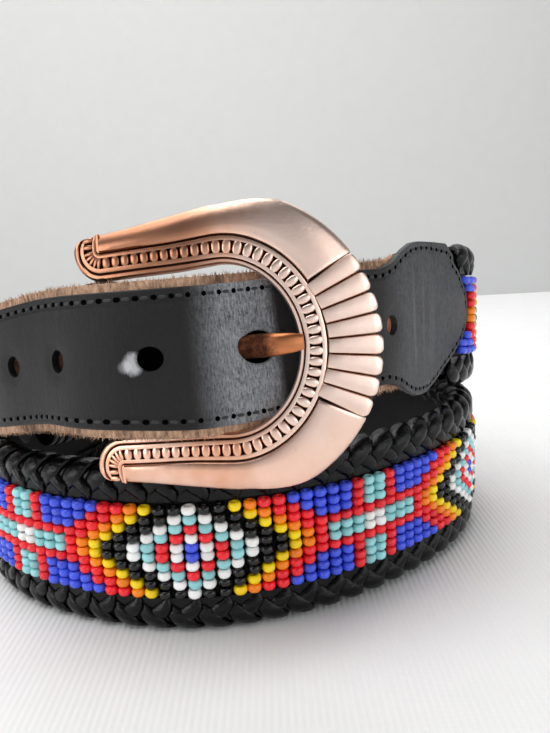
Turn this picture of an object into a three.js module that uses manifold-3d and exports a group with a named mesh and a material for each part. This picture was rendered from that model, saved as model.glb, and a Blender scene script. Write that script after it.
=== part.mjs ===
// Beaded western belt, wound twice round into a coil and buckled, standing on its lower edge.
// Millimetres, +Z up, seen from the front along +Y. Origin: bottom centre of the whole coil.
import * as THREE from 'three';
import { mergeVertices } from 'three/addons/utils/BufferGeometryUtils.js';
import Module from 'manifold-3d';

const wasm = await Module();
wasm.setup();

// Driving dimensions
const BELT_WIDTH = 38;
const CORE_WIDTH = 31;
const CORE_THICK = 3;
const BEAD_FIELD_WIDTH = 21.2;
const BEAD_FIELD_THICK = 2.7;
const BEAD_FIELD_CROWN = 0.5;
const LACE_CLEARANCE = 0.6;
const LACE_FRONT_THICK = 2.1;
const LACE_BACK_THICK = 1.9;
const COIL_RADIUS = 70;
const BILLET_WIDTH = 28;
const BILLET_FACE_WIDTH = 24.6;
const BILLET_FACE_THICK = 1.4;
const LINING_THICK = 1.5;
const TAB_WIDTH = 36;
const BUCKLE_STRAP_THICK = 1.4;
const FOLD_CLEARANCE = 0.5;
const FOLD_TAPER = 10;
const HOLE_DIAMETER = 4.4;
const HOLE_PITCH = 18;
const HOLES_TOWARDS_TAB = 2;
const HOLES_TOWARDS_TIP = 4;
const BUCKLE_THICK = 3.2;
const BUCKLE_OPENING = 31.2;
const BUCKLE_REACH = 36.2;
const BUCKLE_BEND_RADIUS = 95;
const FAN_WIDTH = 10.4;
const FAN_SPREAD = 65;
const RAYS = 8;
const LOBE_DEPTH = 0.9;
const BAR_DIAMETER = 2.8;
const PRONG_WIDTH = 3.6;
const PRONG_THICK = 2.2;
const GAP = 0.15;
const LAYER_GAP = 0.25;
const METAL_GAP = 0.3;
const REST_GAP = 3.2;

// Stations along the belt, measured from the buckle's bar towards the billet's tab
const PRONG_HOLE_AT = 28.5;
const BILLET_TIP_AT = -82;
const BILLET_DROP_END = 45;
const TAB_NECK_AT = 61;
const LINING_END_AT = 74;
const BUCKLE_NECK = 50;
const BUCKLE_STRAP_RETURN = 34;
const TAB_LENGTH = 49.5;
const STATION_STEP = 8.6;
const FOLD_STEPS = 9;

// Middle line of the coil: turn in degrees from the front of the lower turn towards the right,
// reach as a share of COIL_RADIUS, lift as a share of BELT_WIDTH, lean in degrees, top inwards
const COIL_ROWS = [
  { turn: 0, reach: 0.916, lift: 0.5, lean: 0 },
  { turn: 25, reach: 0.914, lift: 0.5, lean: 0 },
  { turn: 48, reach: 0.943, lift: 0.5, lean: 0 },
  { turn: 68, reach: 1.01, lift: 0.5, lean: 0 },
  { turn: 86, reach: 1.045, lift: 0.5, lean: 0 },
  { turn: 104, reach: 0.957, lift: 0.508, lean: 0 },
  { turn: 128, reach: 0.871, lift: 0.566, lean: 0 },
  { turn: 155, reach: 0.893, lift: 0.658, lean: 0 },
  { turn: 180, reach: 0.929, lift: 0.737, lean: 0 },
  { turn: 205, reach: 0.893, lift: 0.829, lean: 0 },
  { turn: 232, reach: 0.829, lift: 0.947, lean: 0 },
  { turn: 262, reach: 0.776, lift: 1.092, lean: 0 },
  { turn: 292, reach: 0.77, lift: 1.315, lean: 0 },
  { turn: 318, reach: 0.89, lift: 1.48, lean: 2 },
  { turn: 337, reach: 0.935, lift: 1.585, lean: 5 },
  { turn: 352, reach: 1.06, lift: 1.625, lean: 8 },
  { turn: 367, reach: 1.045, lift: 1.64, lean: 8 },
  { turn: 384, reach: 1.015, lift: 1.66, lean: 7 },
  { turn: 400, reach: 0.96, lift: 1.645, lean: 4 },
  { turn: 421, reach: 0.935, lift: 1.62, lean: 0 },
  { turn: 440, reach: 1.04, lift: 1.55, lean: 0 },
  { turn: 456, reach: 1.09, lift: 1.51, lean: 0 },
  { turn: 476, reach: 1.114, lift: 1.42, lean: 0 },
  { turn: 500, reach: 1.129, lift: 1.211, lean: 0 },
  { turn: 525, reach: 1.143, lift: 0.974, lean: 0 },
  { turn: 550, reach: 1.129, lift: 0.75, lean: 0 },
  { turn: 574, reach: 1.079, lift: 0.579, lean: 0 },
  { turn: 597, reach: 1.021, lift: 0.505, lean: 0 },
  { turn: 622, reach: 0.971, lift: 0.5, lean: 0 },
  { turn: 650, reach: 0.936, lift: 0.5, lean: 0 },
  { turn: 675, reach: 0.92, lift: 0.5, lean: 0 },
  { turn: 698, reach: 0.905, lift: 0.5, lean: 0 },
];
const BAR_TURN = 349;
const PATH_SAMPLES = 960;
const SMOOTH_HALF_WINDOW = 7;
const SMOOTH_PASSES = 2;

// Outline of a tab: place across as a share of half its width, reach as a share of TAB_LENGTH
const TAB_END_ROWS = [
  { across: -1, reach: 0.43 },
  { across: -0.85, reach: 0.61 },
  { across: -0.6, reach: 0.78 },
  { across: -0.3, reach: 0.93 },
  { across: 0, reach: 1 },
  { across: 0.3, reach: 0.96 },
  { across: 0.6, reach: 0.84 },
  { across: 0.75, reach: 0.75 },
  { across: 0.85, reach: 0.74 },
  { across: 1, reach: 0.65 },
];
// Widening from a strap to a tab: reach as a share of TAB_LENGTH, spread from 0, strap, to 1, tab
const TAB_FLARE_ROWS = [
  { reach: 0, spread: 0 },
  { reach: 0.1, spread: 0.22 },
  { reach: 0.2, spread: 0.68 },
  { reach: 0.28, spread: 0.93 },
  { reach: 0.36, spread: 1 },
];
// Point of the billet: distance from its tip and width, both as shares of BILLET_WIDTH
const TIP_ROWS = [
  { inward: 0, width: 0.3 },
  { inward: 0.07, width: 0.52 },
  { inward: 0.2, width: 0.72 },
  { inward: 0.45, width: 0.92 },
  { inward: 0.75, width: 1 },
];
// Half of the buckle's arm: along as a share of BUCKLE_REACH, inner and outer edge as shares of BUCKLE_OPENING
const ARM_ROWS = [
  { along: -0.122, inner: 0.585, outer: 0.68 },
  { along: -0.106, inner: 0.545, outer: 0.715 },
  { along: -0.075, inner: 0.518, outer: 0.738 },
  { along: -0.032, inner: 0.502, outer: 0.75 },
  { along: 0.03, inner: 0.498, outer: 0.757 },
  { along: 0.16, inner: 0.5, outer: 0.77 },
  { along: 0.3, inner: 0.5, outer: 0.79 },
  { along: 0.45, inner: 0.5, outer: 0.813 },
  { along: 0.61, inner: 0.5, outer: 0.84 },
];
const BOW_CENTRE = 0.622;
const BOW_SHOULDER = 30;

// Small helpers on numbers
const clamp01 = (value) => Math.min(1, Math.max(0, value));
const smoothStep = (value) => clamp01(value) ** 2 * (3 - 2 * clamp01(value));
const radians = THREE.MathUtils.degToRad;

/** Value of column `out` at `value` of column `key`, straight between the rows of a table. */
function lookUp(rows, key, out, value) {
  if (value <= rows[0][key]) return rows[0][out];
  for (let i = 1; i < rows.length; i += 1) {
    if (value <= rows[i][key]) {
      const share = (value - rows[i - 1][key]) / (rows[i][key] - rows[i - 1][key]);
      return rows[i - 1][out] + share * (rows[i][out] - rows[i - 1][out]);
    }
  }
  return rows[rows.length - 1][out];
}

/** Evens a closed list of sampled rows with a moving average, as stiff leather does. */
function smoothed(samples) {
  const count = samples.length;
  const span = 2 * SMOOTH_HALF_WINDOW + 1;
  return samples.map((row, i) => row.map((_, axis) => {
    let sum = 0;
    for (let k = -SMOOTH_HALF_WINDOW; k <= SMOOTH_HALF_WINDOW; k += 1) {
      sum += samples[(i + k + count) % count][axis];
    }
    return sum / span;
  }));
}

/** The coil's middle line as samples [x, y, z, lean] with their distance along it. */
function makePath() {
  const points = COIL_ROWS.map((row) => {
    const turn = radians(row.turn);
    const reach = row.reach * COIL_RADIUS;
    return new THREE.Vector3(reach * Math.sin(turn), -reach * Math.cos(turn), row.lift * BELT_WIDTH);
  });
  const curve = new THREE.CatmullRomCurve3(points, true, 'centripetal');
  let samples = [];
  for (let i = 0; i < PATH_SAMPLES; i += 1) {
    const share = (i / PATH_SAMPLES) * COIL_ROWS.length;
    const row = Math.floor(share);
    const next = COIL_ROWS[(row + 1) % COIL_ROWS.length];
    const lean = COIL_ROWS[row].lean + (share - row) * (next.lean - COIL_ROWS[row].lean);
    const p = curve.getPoint(i / PATH_SAMPLES);
    samples.push([p.x, p.y, Math.max(p.z, BELT_WIDTH / 2), lean]);
  }
  for (let pass = 0; pass < SMOOTH_PASSES; pass += 1) samples = smoothed(samples);
  const along = [0];
  for (let i = 0; i < PATH_SAMPLES; i += 1) {
    const a = samples[i];
    const b = samples[(i + 1) % PATH_SAMPLES];
    along.push(along[i] + Math.hypot(b[0] - a[0], b[1] - a[1], b[2] - a[2]));
  }
  samples.push(samples[0]);
  return { samples, along, length: along[PATH_SAMPLES] };
}

const path = makePath();
const BELT_LENGTH = path.length;

/** Sample of the middle line at a distance along it from the first row. */
function sampleAt(distance) {
  const s = ((distance % BELT_LENGTH) + BELT_LENGTH) % BELT_LENGTH;
  let low = 0;
  let high = path.along.length - 1;
  while (high - low > 1) {
    const middle = (low + high) >> 1;
    if (path.along[middle] <= s) low = middle;
    else high = middle;
  }
  const share = (s - path.along[low]) / (path.along[high] - path.along[low]);
  return path.samples[low].map((value, axis) => value + share * (path.samples[high][axis] - value));
}

/** Distance from the first row at which the line stands over a turn angle in degrees. */
function distanceAtTurn(turn) {
  let angle = 0;
  for (let i = 1; i < path.samples.length; i += 1) {
    const [x0, y0] = path.samples[i - 1];
    const [x1, y1] = path.samples[i];
    angle += Math.atan2(x0 * y1 - y0 * x1, x0 * x1 + y0 * y1);
    if (THREE.MathUtils.radToDeg(angle) >= turn) return path.along[i];
  }
  return BELT_LENGTH;
}

const BAR_DISTANCE = distanceAtTurn(BAR_TURN);
const TANGENT_STEP = 0.8;

/** Frame of the belt at a station from the bar: origin, along, out of the face, across upwards. */
function frameAt(station) {
  const here = sampleAt(BAR_DISTANCE + station);
  const back = sampleAt(BAR_DISTANCE + station - TANGENT_STEP);
  const ahead = sampleAt(BAR_DISTANCE + station + TANGENT_STEP);
  const along = new THREE.Vector3(ahead[0] - back[0], ahead[1] - back[1], ahead[2] - back[2]).normalize();
  const level = new THREE.Vector3(along.y, -along.x, 0).normalize();
  const upright = new THREE.Vector3().crossVectors(level, along);
  if (upright.z < 0) upright.negate();
  const lean = radians(here[3]);
  const across = upright.clone().multiplyScalar(Math.cos(lean)).addScaledVector(level, -Math.sin(lean));
  const out = level.clone().multiplyScalar(Math.cos(lean)).addScaledVector(upright, Math.sin(lean));
  return { origin: new THREE.Vector3(here[0], here[1], here[2]), along, out, across };
}

/** Point at a station, `across` mm up the belt's width and `out` mm out of its face. */
function place(station, across, out) {
  const frame = frameAt(station);
  return frame.origin.addScaledVector(frame.across, across).addScaledVector(frame.out, out);
}

/** Signed volume of an indexed triangle list. */
function signedVolume(points, faces) {
  let sum = 0;
  const cross = new THREE.Vector3();
  for (const [a, b, c] of faces) sum += points[a].dot(cross.crossVectors(points[b], points[c]));
  return sum / 6;
}

/** Closed geometry from points and triangles, turned so that its faces point out. */
function closedGeometry(points, faces) {
  const turned = signedVolume(points, faces) < 0 ? faces.map(([a, b, c]) => [a, c, b]) : faces;
  const geometry = new THREE.BufferGeometry();
  geometry.setAttribute('position', new THREE.Float32BufferAttribute(points.flatMap((p) => p.toArray()), 3));
  geometry.setIndex(turned.flat());
  return geometry;
}

/** Solid between two grids of points, outer[i][j] and inner[i][j], closed round its border. */
function solidBetween(outer, inner) {
  const rows = outer.length;
  const columns = outer[0].length;
  const points = [...outer.flat(), ...inner.flat()];
  const top = (i, j) => i * columns + j;
  const base = (i, j) => rows * columns + i * columns + j;
  const faces = [];
  const quad = (a, b, c, d) => faces.push([a, b, c], [a, c, d]);
  for (let i = 0; i < rows - 1; i += 1) {
    for (let j = 0; j < columns - 1; j += 1) {
      quad(top(i, j), top(i + 1, j), top(i + 1, j + 1), top(i, j + 1));
      quad(base(i, j), base(i, j + 1), base(i + 1, j + 1), base(i + 1, j));
    }
    quad(top(i, 0), base(i, 0), base(i + 1, 0), top(i + 1, 0));
    quad(top(i + 1, columns - 1), base(i + 1, columns - 1), base(i, columns - 1), top(i, columns - 1));
  }
  for (let j = 0; j < columns - 1; j += 1) {
    quad(top(0, j + 1), base(0, j + 1), base(0, j), top(0, j));
    quad(top(rows - 1, j), base(rows - 1, j), base(rows - 1, j + 1), top(rows - 1, j + 1));
  }
  return closedGeometry(points, faces);
}

/** Solid swept through rings of points, each the same closed outline, with flat ends. */
function sweptSolid(rings, outline) {
  const size = rings[0].length;
  const points = rings.flat();
  const faces = [];
  for (let i = 0; i < rings.length - 1; i += 1) {
    for (let j = 0; j < size; j += 1) {
      const a = i * size + j;
      const b = i * size + ((j + 1) % size);
      faces.push([a, b, b + size], [a, b + size, a + size]);
    }
  }
  const last = (rings.length - 1) * size;
  const way = Math.sign(THREE.ShapeUtils.area(outline));
  for (const [a, b, c] of THREE.ShapeUtils.triangulateShape(outline, [])) {
    const corners = THREE.ShapeUtils.area([outline[a], outline[b], outline[c]]) * way < 0 ? [c, b, a] : [a, b, c];
    faces.push([...corners].reverse(), corners.map((corner) => last + corner));
  }
  return closedGeometry(points, faces);
}

/** Flat leather piece laid along the belt over a run of stations. */
function laidPiece({ stations, acrossShares, halfWidth, outer, inner }) {
  const grid = (height) => stations.map((station) => (
    acrossShares.map((share) => place(station, share * halfWidth(station), height(station)))));
  return solidBetween(grid(outer), grid(inner));
}

/** A three.js geometry as a manifold solid. */
function toSolid(geometry) {
  const bare = geometry.clone();
  bare.deleteAttribute('normal');
  bare.deleteAttribute('uv');
  const merged = mergeVertices(bare, 1e-4);
  return new wasm.Manifold(new wasm.Mesh({
    numProp: 3,
    vertProperties: new Float32Array(merged.attributes.position.array),
    triVerts: new Uint32Array(merged.index.array),
  }));
}

/** A manifold solid as a three.js geometry. */
function toGeometry(solid) {
  const mesh = solid.getMesh();
  const geometry = new THREE.BufferGeometry();
  geometry.setAttribute('position', new THREE.Float32BufferAttribute(mesh.vertProperties, 3));
  geometry.setIndex(Array.from(mesh.triVerts));
  return geometry;
}

/** Moves a geometry made along its own axes into axes x, y, z at an origin. */
function seat(geometry, origin, x, y, z) {
  const matrix = new THREE.Matrix4().makeBasis(x, y, z).setPosition(origin);
  return geometry.applyMatrix4(matrix);
}

// Heights over the belt's middle line, positive out of the face
const BUCKLE_STRAP_OUT = LAYER_GAP + BUCKLE_STRAP_THICK;
const BILLET_RISE = BUCKLE_STRAP_OUT + 3 * LAYER_GAP + LINING_THICK;
const TAB_HALF = TAB_WIDTH / 2;
const BILLET_HALF = BILLET_WIDTH / 2;
const TAB_ACROSS = TAB_END_ROWS.map((row) => row.across);

/** How far the billet lies outside the belt's line: over the buckle strap at its tip, on it at its tab. */
function billetRise(station) {
  const drop = smoothStep((station - BAR_DIAMETER) / (BILLET_DROP_END - BAR_DIAMETER));
  return BILLET_RISE * (1 - drop);
}

/** Reach of a tab's outline at a height across the belt, from the tab's neck. */
const tabReach = (across) => TAB_LENGTH * lookUp(TAB_END_ROWS, 'across', 'reach', across / TAB_HALF);

/** Half width between a strap and its tab at a distance past the neck. */
function flaredHalf(narrow, wide, past) {
  return narrow + (wide - narrow) * lookUp(TAB_FLARE_ROWS, 'reach', 'spread', past / TAB_LENGTH);
}

/** Half width of a billet layer at a distance from its tip. */
function pointedHalf(half, fromTip) {
  return half * lookUp(TIP_ROWS, 'inward', 'width', fromTip / BILLET_WIDTH);
}

// Stations that every layer shares, so that their facets lie flat on one another
const lastFlare = TAB_FLARE_ROWS[TAB_FLARE_ROWS.length - 1].reach;
const fixedKnots = [
  0, BILLET_DROP_END, LINING_END_AT, BELT_LENGTH - BAR_DIAMETER * 2, BELT_LENGTH - BUCKLE_STRAP_RETURN,
  BELT_LENGTH + BILLET_TIP_AT,
  ...TAB_FLARE_ROWS.map((row) => TAB_NECK_AT + row.reach * TAB_LENGTH),
  ...TAB_FLARE_ROWS.map((row) => BELT_LENGTH - BUCKLE_NECK - row.reach * TAB_LENGTH),
  ...TIP_ROWS.slice(1).map((row) => BELT_LENGTH + BILLET_TIP_AT + row.inward * BILLET_WIDTH),
];
const stepCount = Math.round(BELT_LENGTH / STATION_STEP);
const evenKnots = Array.from({ length: stepCount }, (_, i) => (i * BELT_LENGTH) / stepCount)
  .filter((knot) => fixedKnots.every((fixed) => Math.abs(fixed - knot) > STATION_STEP * 0.35));
const knots = [...fixedKnots, ...evenKnots];

/** Shared stations from one place along the belt to another, both ends among them. */
function stationsBetween(from, to) {
  const inside = knots.flatMap((knot) => [knot - BELT_LENGTH, knot])
    .filter((knot) => knot > from + METAL_GAP && knot < to - METAL_GAP);
  return [from, ...inside.sort((a, b) => a - b), to];
}

/** Tube through the belt at a punched hole. */
function holeTool(station) {
  const frame = frameAt(station);
  const tool = new THREE.CylinderGeometry(HOLE_DIAMETER / 2, HOLE_DIAMETER / 2, BELT_WIDTH / 2, 12);
  return toSolid(seat(tool, frame.origin, frame.along, frame.out, frame.across.clone().negate()));
}

/** Places of the punched holes, without the one that the prong fills. */
function holeStations() {
  const places = [];
  for (let i = -HOLES_TOWARDS_TIP; i <= HOLES_TOWARDS_TAB; i += 1) {
    if (i !== 0) places.push(PRONG_HOLE_AT + i * HOLE_PITCH);
  }
  return places;
}

/** Buckle axes: bar at the origin, x along the strap to the fan, y up the bar, z out of the face. */
function buckleAxes() {
  const frame = frameAt(0);
  const origin = frame.origin.clone().addScaledVector(frame.out, -CORE_THICK / 2);
  const rest = place(BUCKLE_REACH, 0, billetRise(BUCKLE_REACH) + BILLET_FACE_THICK + LAYER_GAP + REST_GAP);
  const lift = BUCKLE_THICK / 2 - bend(BUCKLE_REACH);
  const middle = rest.clone().addScaledVector(frameAt(BUCKLE_REACH / 2).out, lift);
  const x = middle.sub(origin).normalize();
  const z = new THREE.Vector3().crossVectors(x, frameAt(BUCKLE_REACH / 2).across).normalize();
  const y = new THREE.Vector3().crossVectors(z, x);
  return { origin, x, y, z };
}

/** Bow of the buckle: how far it stands out at a distance from the bar. */
function bend(x) {
  const crest = BUCKLE_REACH / 2;
  return (crest ** 2 - (x - crest) ** 2) / (2 * BUCKLE_BEND_RADIUS);
}

/** Stations round the buckle, each with its inner and outer edge points in the buckle's plane. */
function buckleStations() {
  const arm = ARM_ROWS.map((row) => ({
    inner: [row.along * BUCKLE_REACH, row.inner * BUCKLE_OPENING],
    outer: [row.along * BUCKLE_REACH, row.outer * BUCKLE_OPENING],
    dip: 0,
  }));
  const centre = BOW_CENTRE * BUCKLE_REACH;
  const innerX = BUCKLE_REACH - centre;
  const innerY = BUCKLE_OPENING / 2;
  const outerArm = ARM_ROWS[ARM_ROWS.length - 1].outer * BUCKLE_OPENING;
  const fanRadius = innerX + BUCKLE_THICK * 1.5 + FAN_WIDTH;
  const bow = [];
  const add = (degrees, lobe, dip) => {
    const angle = radians(degrees);
    const blend = smoothStep((90 - Math.abs(degrees)) / BOW_SHOULDER);
    const radius = outerArm + (fanRadius - outerArm) * blend + lobe;
    bow.push({
      inner: [centre + innerX * Math.cos(angle), innerY * Math.sin(angle)],
      outer: [centre + radius * Math.cos(angle), radius * Math.sin(angle)],
      dip,
    });
  };
  const half = FAN_SPREAD / 2;
  const step = FAN_SPREAD / RAYS;
  for (const degrees of [86, 78, 70, 60, 46]) add(degrees, 0, 0);
  for (let i = 0; i < RAYS; i += 1) {
    add(half - i * step, -LOBE_DEPTH, 1);
    add(half - (i + 0.25) * step, 0, 0);
    add(half - (i + 0.75) * step, 0, 0);
  }
  add(-half, -LOBE_DEPTH, 1);
  for (const degrees of [-46, -60, -70, -78, -86]) add(degrees, 0, 0);
  const lower = arm.map(({ inner, outer, dip }) => ({
    inner: [inner[0], -inner[1]], outer: [outer[0], -outer[1]], dip,
  })).reverse();
  return [...arm, ...bow, ...lower];
}

// Section of the buckle: place as a share from inner to outer edge, height as a share of half its thickness
const BUCKLE_SECTION = [
  { place: 0.02, height: -1, dip: 0 },
  { place: 0, height: 0.4, dip: 0 },
  { place: 0.08, height: 0.75, dip: 0 },
  { place: 0.15, height: 0.35, dip: 0 },
  { place: 0.36, height: 0.35, dip: 0 },
  { place: 0.42, height: 0.7, dip: 0.1 },
  { place: 0.58, height: 1, dip: 0.55 },
  { place: 0.86, height: 0.75, dip: 0.55 },
  { place: 1, height: 0.05, dip: 0.3 },
  { place: 0.97, height: -0.8, dip: 0 },
  { place: 0.9, height: -1, dip: 0 },
];

/** Buckle frame with its fan of rays and the bar, one solid. */
function buckleFrame(axes) {
  const half = BUCKLE_THICK / 2;
  const rings = buckleStations().map(({ inner, outer, dip }) => BUCKLE_SECTION.map((row) => {
    const x = inner[0] + row.place * (outer[0] - inner[0]);
    const y = inner[1] + row.place * (outer[1] - inner[1]);
    return new THREE.Vector3(x, y, (row.height - dip * row.dip) * half + bend(x));
  }));
  const outline = BUCKLE_SECTION.map((row) => new THREE.Vector2(row.place * BUCKLE_THICK * 3, row.height * half));
  const bow = toSolid(sweptSolid(rings, outline));
  const bar = new THREE.CylinderGeometry(BAR_DIAMETER / 2, BAR_DIAMETER / 2, BUCKLE_OPENING + 2 * half, 12);
  return seat(toGeometry(bow.add(toSolid(bar))), axes.origin, axes.x, axes.y, axes.z);
}

// Prong: share of the way from its root to BUCKLE_REACH, lift from 0, in the frame, to 1, resting on its rim
const PRONG_ROWS = [
  { along: 0, lift: 0.18 },
  { along: 0.15, lift: 0.03 },
  { along: 0.45, lift: -0.1 },
  { along: 0.64, lift: 0.05 },
  { along: 0.74, lift: 0.5 },
  { along: 0.82, lift: 0.93 },
  { along: 0.9, lift: 1.08 },
  { along: 1.03, lift: 1 },
];
const PRONG_EYE_WALL = 1;
const PRONG_ROOT = BAR_DIAMETER / 2 + METAL_GAP + PRONG_EYE_WALL / 2;
const PRONG_REST = BUCKLE_THICK * 0.4 + METAL_GAP + PRONG_THICK * 0.4;

/** Prong with its eye round the bar; `grow` makes it larger all round to cut its way. */
function prongSolid(axes, grow) {
  const sides = 8;
  const rings = PRONG_ROWS.map((row, i) => {
    const narrowing = i === PRONG_ROWS.length - 1 ? 0.7 : 1;
    const x = PRONG_ROOT + row.along * (BUCKLE_REACH - PRONG_ROOT) + (i === PRONG_ROWS.length - 1 ? grow : 0);
    return Array.from({ length: sides }, (_, k) => {
      const angle = ((k + 0.5) / sides) * 2 * Math.PI;
      const y = (PRONG_WIDTH / 2 + grow) * narrowing * Math.cos(angle) / Math.cos(Math.PI / sides);
      const z = (PRONG_THICK / 2 + grow) * narrowing * Math.sin(angle) / Math.cos(Math.PI / sides);
      return new THREE.Vector3(x, y, bend(x) + row.lift * PRONG_REST + z);
    });
  });
  const outline = rings[0].map((p) => new THREE.Vector2(p.y, p.z));
  const tongue = toSolid(sweptSolid(rings, outline));
  const eyeOuter = BAR_DIAMETER / 2 + METAL_GAP + PRONG_EYE_WALL + grow;
  const eye = new THREE.CylinderGeometry(eyeOuter, eyeOuter, PRONG_WIDTH + 2 * grow, 16);
  const bore = BAR_DIAMETER / 2 + METAL_GAP;
  const barWay = new THREE.CylinderGeometry(bore, bore, BUCKLE_OPENING, 16);
  const joined = toSolid(eye).add(tongue).subtract(toSolid(barWay));
  return toSolid(seat(toGeometry(joined), axes.origin, axes.x, axes.y, axes.z));
}

/** Black core strap between the two tabs. */
function coreStrap() {
  const neck = BELT_LENGTH - BUCKLE_NECK;
  const narrow = BILLET_FACE_WIDTH / 2;
  return laidPiece({
    stations: stationsBetween(LINING_END_AT + GAP, BELT_LENGTH - BAR_DIAMETER * 2),
    acrossShares: [-1, -BEAD_FIELD_WIDTH / CORE_WIDTH, BEAD_FIELD_WIDTH / CORE_WIDTH, 1],
    halfWidth: (s) => flaredHalf(narrow, CORE_WIDTH / 2, neck - s),
    outer: () => 0,
    inner: () => -CORE_THICK,
  });
}

/** Solid that fills a tab's outline and the space over it, to trim what ends against the tab. */
function tabTool(neck, way) {
  const rowsOf = (out) => [0, 0.25, 0.5, 0.75, 1].map((row) => TAB_ACROSS.map((share) => {
    const reach = row * (tabReach(share * TAB_HALF) + METAL_GAP);
    return place(neck + way * reach, share * TAB_HALF, out);
  }));
  return toSolid(solidBetween(rowsOf(2 * BEAD_FIELD_THICK), rowsOf(-CORE_THICK)));
}

/** The field of beads as one crowned band, its ends following the tabs. */
function beadBand() {
  const half = BEAD_FIELD_WIDTH / 2;
  const top = LAYER_GAP + BEAD_FIELD_THICK;
  const section = [
    [-1, LAYER_GAP], [1, LAYER_GAP], [1, top - BEAD_FIELD_CROWN], [0.4, top], [-0.4, top], [-1, top - BEAD_FIELD_CROWN],
  ];
  const hidden = TAB_LENGTH / 2;
  const stations = stationsBetween(TAB_NECK_AT + hidden, BELT_LENGTH - BUCKLE_NECK - hidden);
  const rings = stations.map((station) => section.map(([share, out]) => place(station, share * half, out)));
  const outline = section.map(([share, out]) => new THREE.Vector2(share * half, out));
  const band = toSolid(sweptSolid(rings, outline));
  return toGeometry(band.subtract(tabTool(TAB_NECK_AT, 1)).subtract(tabTool(-BUCKLE_NECK, -1)));
}

/** Laced edge wrapped round one rim of the core; side is 1 for the top, -1 for the bottom. */
function lacedEdge(side) {
  const rim = BELT_WIDTH / 2;
  const slot = CORE_WIDTH / 2 + GAP;
  const root = BEAD_FIELD_WIDTH / 2 + LACE_CLEARANCE;
  const back = -CORE_THICK - GAP;
  const front = GAP + LACE_FRONT_THICK;
  const backRoot = root + LACE_BACK_THICK / 2;
  const section = [
    [root, GAP], [root, GAP + LACE_FRONT_THICK * 0.7], [root + LACE_FRONT_THICK * 0.75, front],
    [rim - LACE_FRONT_THICK, front], [rim, GAP], [rim, back],
    [rim - LACE_BACK_THICK, back - LACE_BACK_THICK], [backRoot, back - LACE_BACK_THICK],
    [backRoot, back], [slot, back], [slot, GAP],
  ];
  const cover = tabReach(side * root) + 6 * GAP;
  const stations = stationsBetween(TAB_NECK_AT + cover, BELT_LENGTH - BUCKLE_NECK - cover);
  const rings = stations.map((s) => section.map(([across, out]) => place(s, side * across, out)));
  return sweptSolid(rings, section.map(([across, out]) => new THREE.Vector2(across, out)));
}

/** Black face of the billet, from its point to its scalloped tab, without its holes. */
function billetFace() {
  const half = (s) => (s < TAB_NECK_AT
    ? pointedHalf(BILLET_FACE_WIDTH / 2, s - BILLET_TIP_AT)
    : flaredHalf(BILLET_FACE_WIDTH / 2, TAB_HALF, s - TAB_NECK_AT));
  const body = TAB_NECK_AT + lastFlare * TAB_LENGTH;
  const straight = stationsBetween(BILLET_TIP_AT, body);
  const tabRows = [0.25, 0.5, 0.75, 1];
  const columns = TAB_ACROSS;
  const rowsOf = (height) => [
    ...straight.map((s) => columns.map((share) => place(s, share * half(s), height + billetRise(s)))),
    ...tabRows.map((row) => columns.map((share) => {
      const s = body + row * (TAB_NECK_AT + tabReach(share * TAB_HALF) - body);
      return place(s, share * TAB_HALF, height + billetRise(s));
    })),
  ];
  return solidBetween(rowsOf(LAYER_GAP + BILLET_FACE_THICK), rowsOf(LAYER_GAP));
}

/** Brown lining under the billet, a little wider than its face. */
function billetLining() {
  const margin = (BILLET_WIDTH - BILLET_FACE_WIDTH) / 2;
  const tip = BILLET_TIP_AT - margin;
  const half = (s) => (s < TAB_NECK_AT
    ? pointedHalf(BILLET_HALF, s - tip)
    : flaredHalf(BILLET_HALF, CORE_WIDTH / 2, s - TAB_NECK_AT));
  return laidPiece({
    stations: stationsBetween(tip, LINING_END_AT),
    acrossShares: [-1, 0, 1],
    halfWidth: half,
    outer: (s) => billetRise(s),
    inner: (s) => billetRise(s) - LINING_THICK,
  });
}

/** Buckle strap: scalloped tab, neck, fold round the bar and the leg behind. */
function buckleStrap(axes) {
  const inside = CORE_THICK / 2 + LAYER_GAP;
  const outside = inside + BUCKLE_STRAP_THICK;
  const body = BUCKLE_NECK + lastFlare * TAB_LENGTH;
  const halfNeck = BILLET_FACE_WIDTH / 2 + 1.2;
  const spare = BUCKLE_OPENING / 2 - FOLD_CLEARANCE - halfNeck;
  const foldHalf = (past) => halfNeck + spare * (1 - smoothStep(past / FOLD_TAPER));
  const half = (past) => (past < BUCKLE_NECK ? foldHalf(past) : flaredHalf(halfNeck, TAB_HALF, past - BUCKLE_NECK));
  const columns = TAB_ACROSS;
  const tabRows = [1, 0.75, 0.5, 0.25];
  const front = stationsBetween(-body, 0).slice(0, -1);
  const foldSteps = Array.from({ length: FOLD_STEPS + 1 }, (_, i) => (i * 180) / FOLD_STEPS);
  const back = stationsBetween(-BUCKLE_STRAP_RETURN, 0).slice(0, -1).reverse();
  const middle = -CORE_THICK / 2;
  const rowsOf = (radius) => [
    ...tabRows.map((row) => columns.map((share) => {
      const past = body + row * (BUCKLE_NECK + tabReach(share * TAB_HALF) - body);
      return place(-past, share * TAB_HALF, middle + radius);
    })),
    ...front.map((s) => columns.map((share) => place(s, share * half(-s), middle + radius))),
    ...foldSteps.map((degrees) => columns.map((share) => {
      const angle = radians(degrees);
      return axes.origin.clone()
        .addScaledVector(axes.x, radius * Math.sin(angle))
        .addScaledVector(axes.z, radius * Math.cos(angle))
        .addScaledVector(axes.y, share * foldHalf(0));
    })),
    ...back.map((s) => columns.map((share) => place(s, share * foldHalf(-s), middle - radius))),
  ];
  return solidBetween(rowsOf(outside), rowsOf(inside));
}

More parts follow.
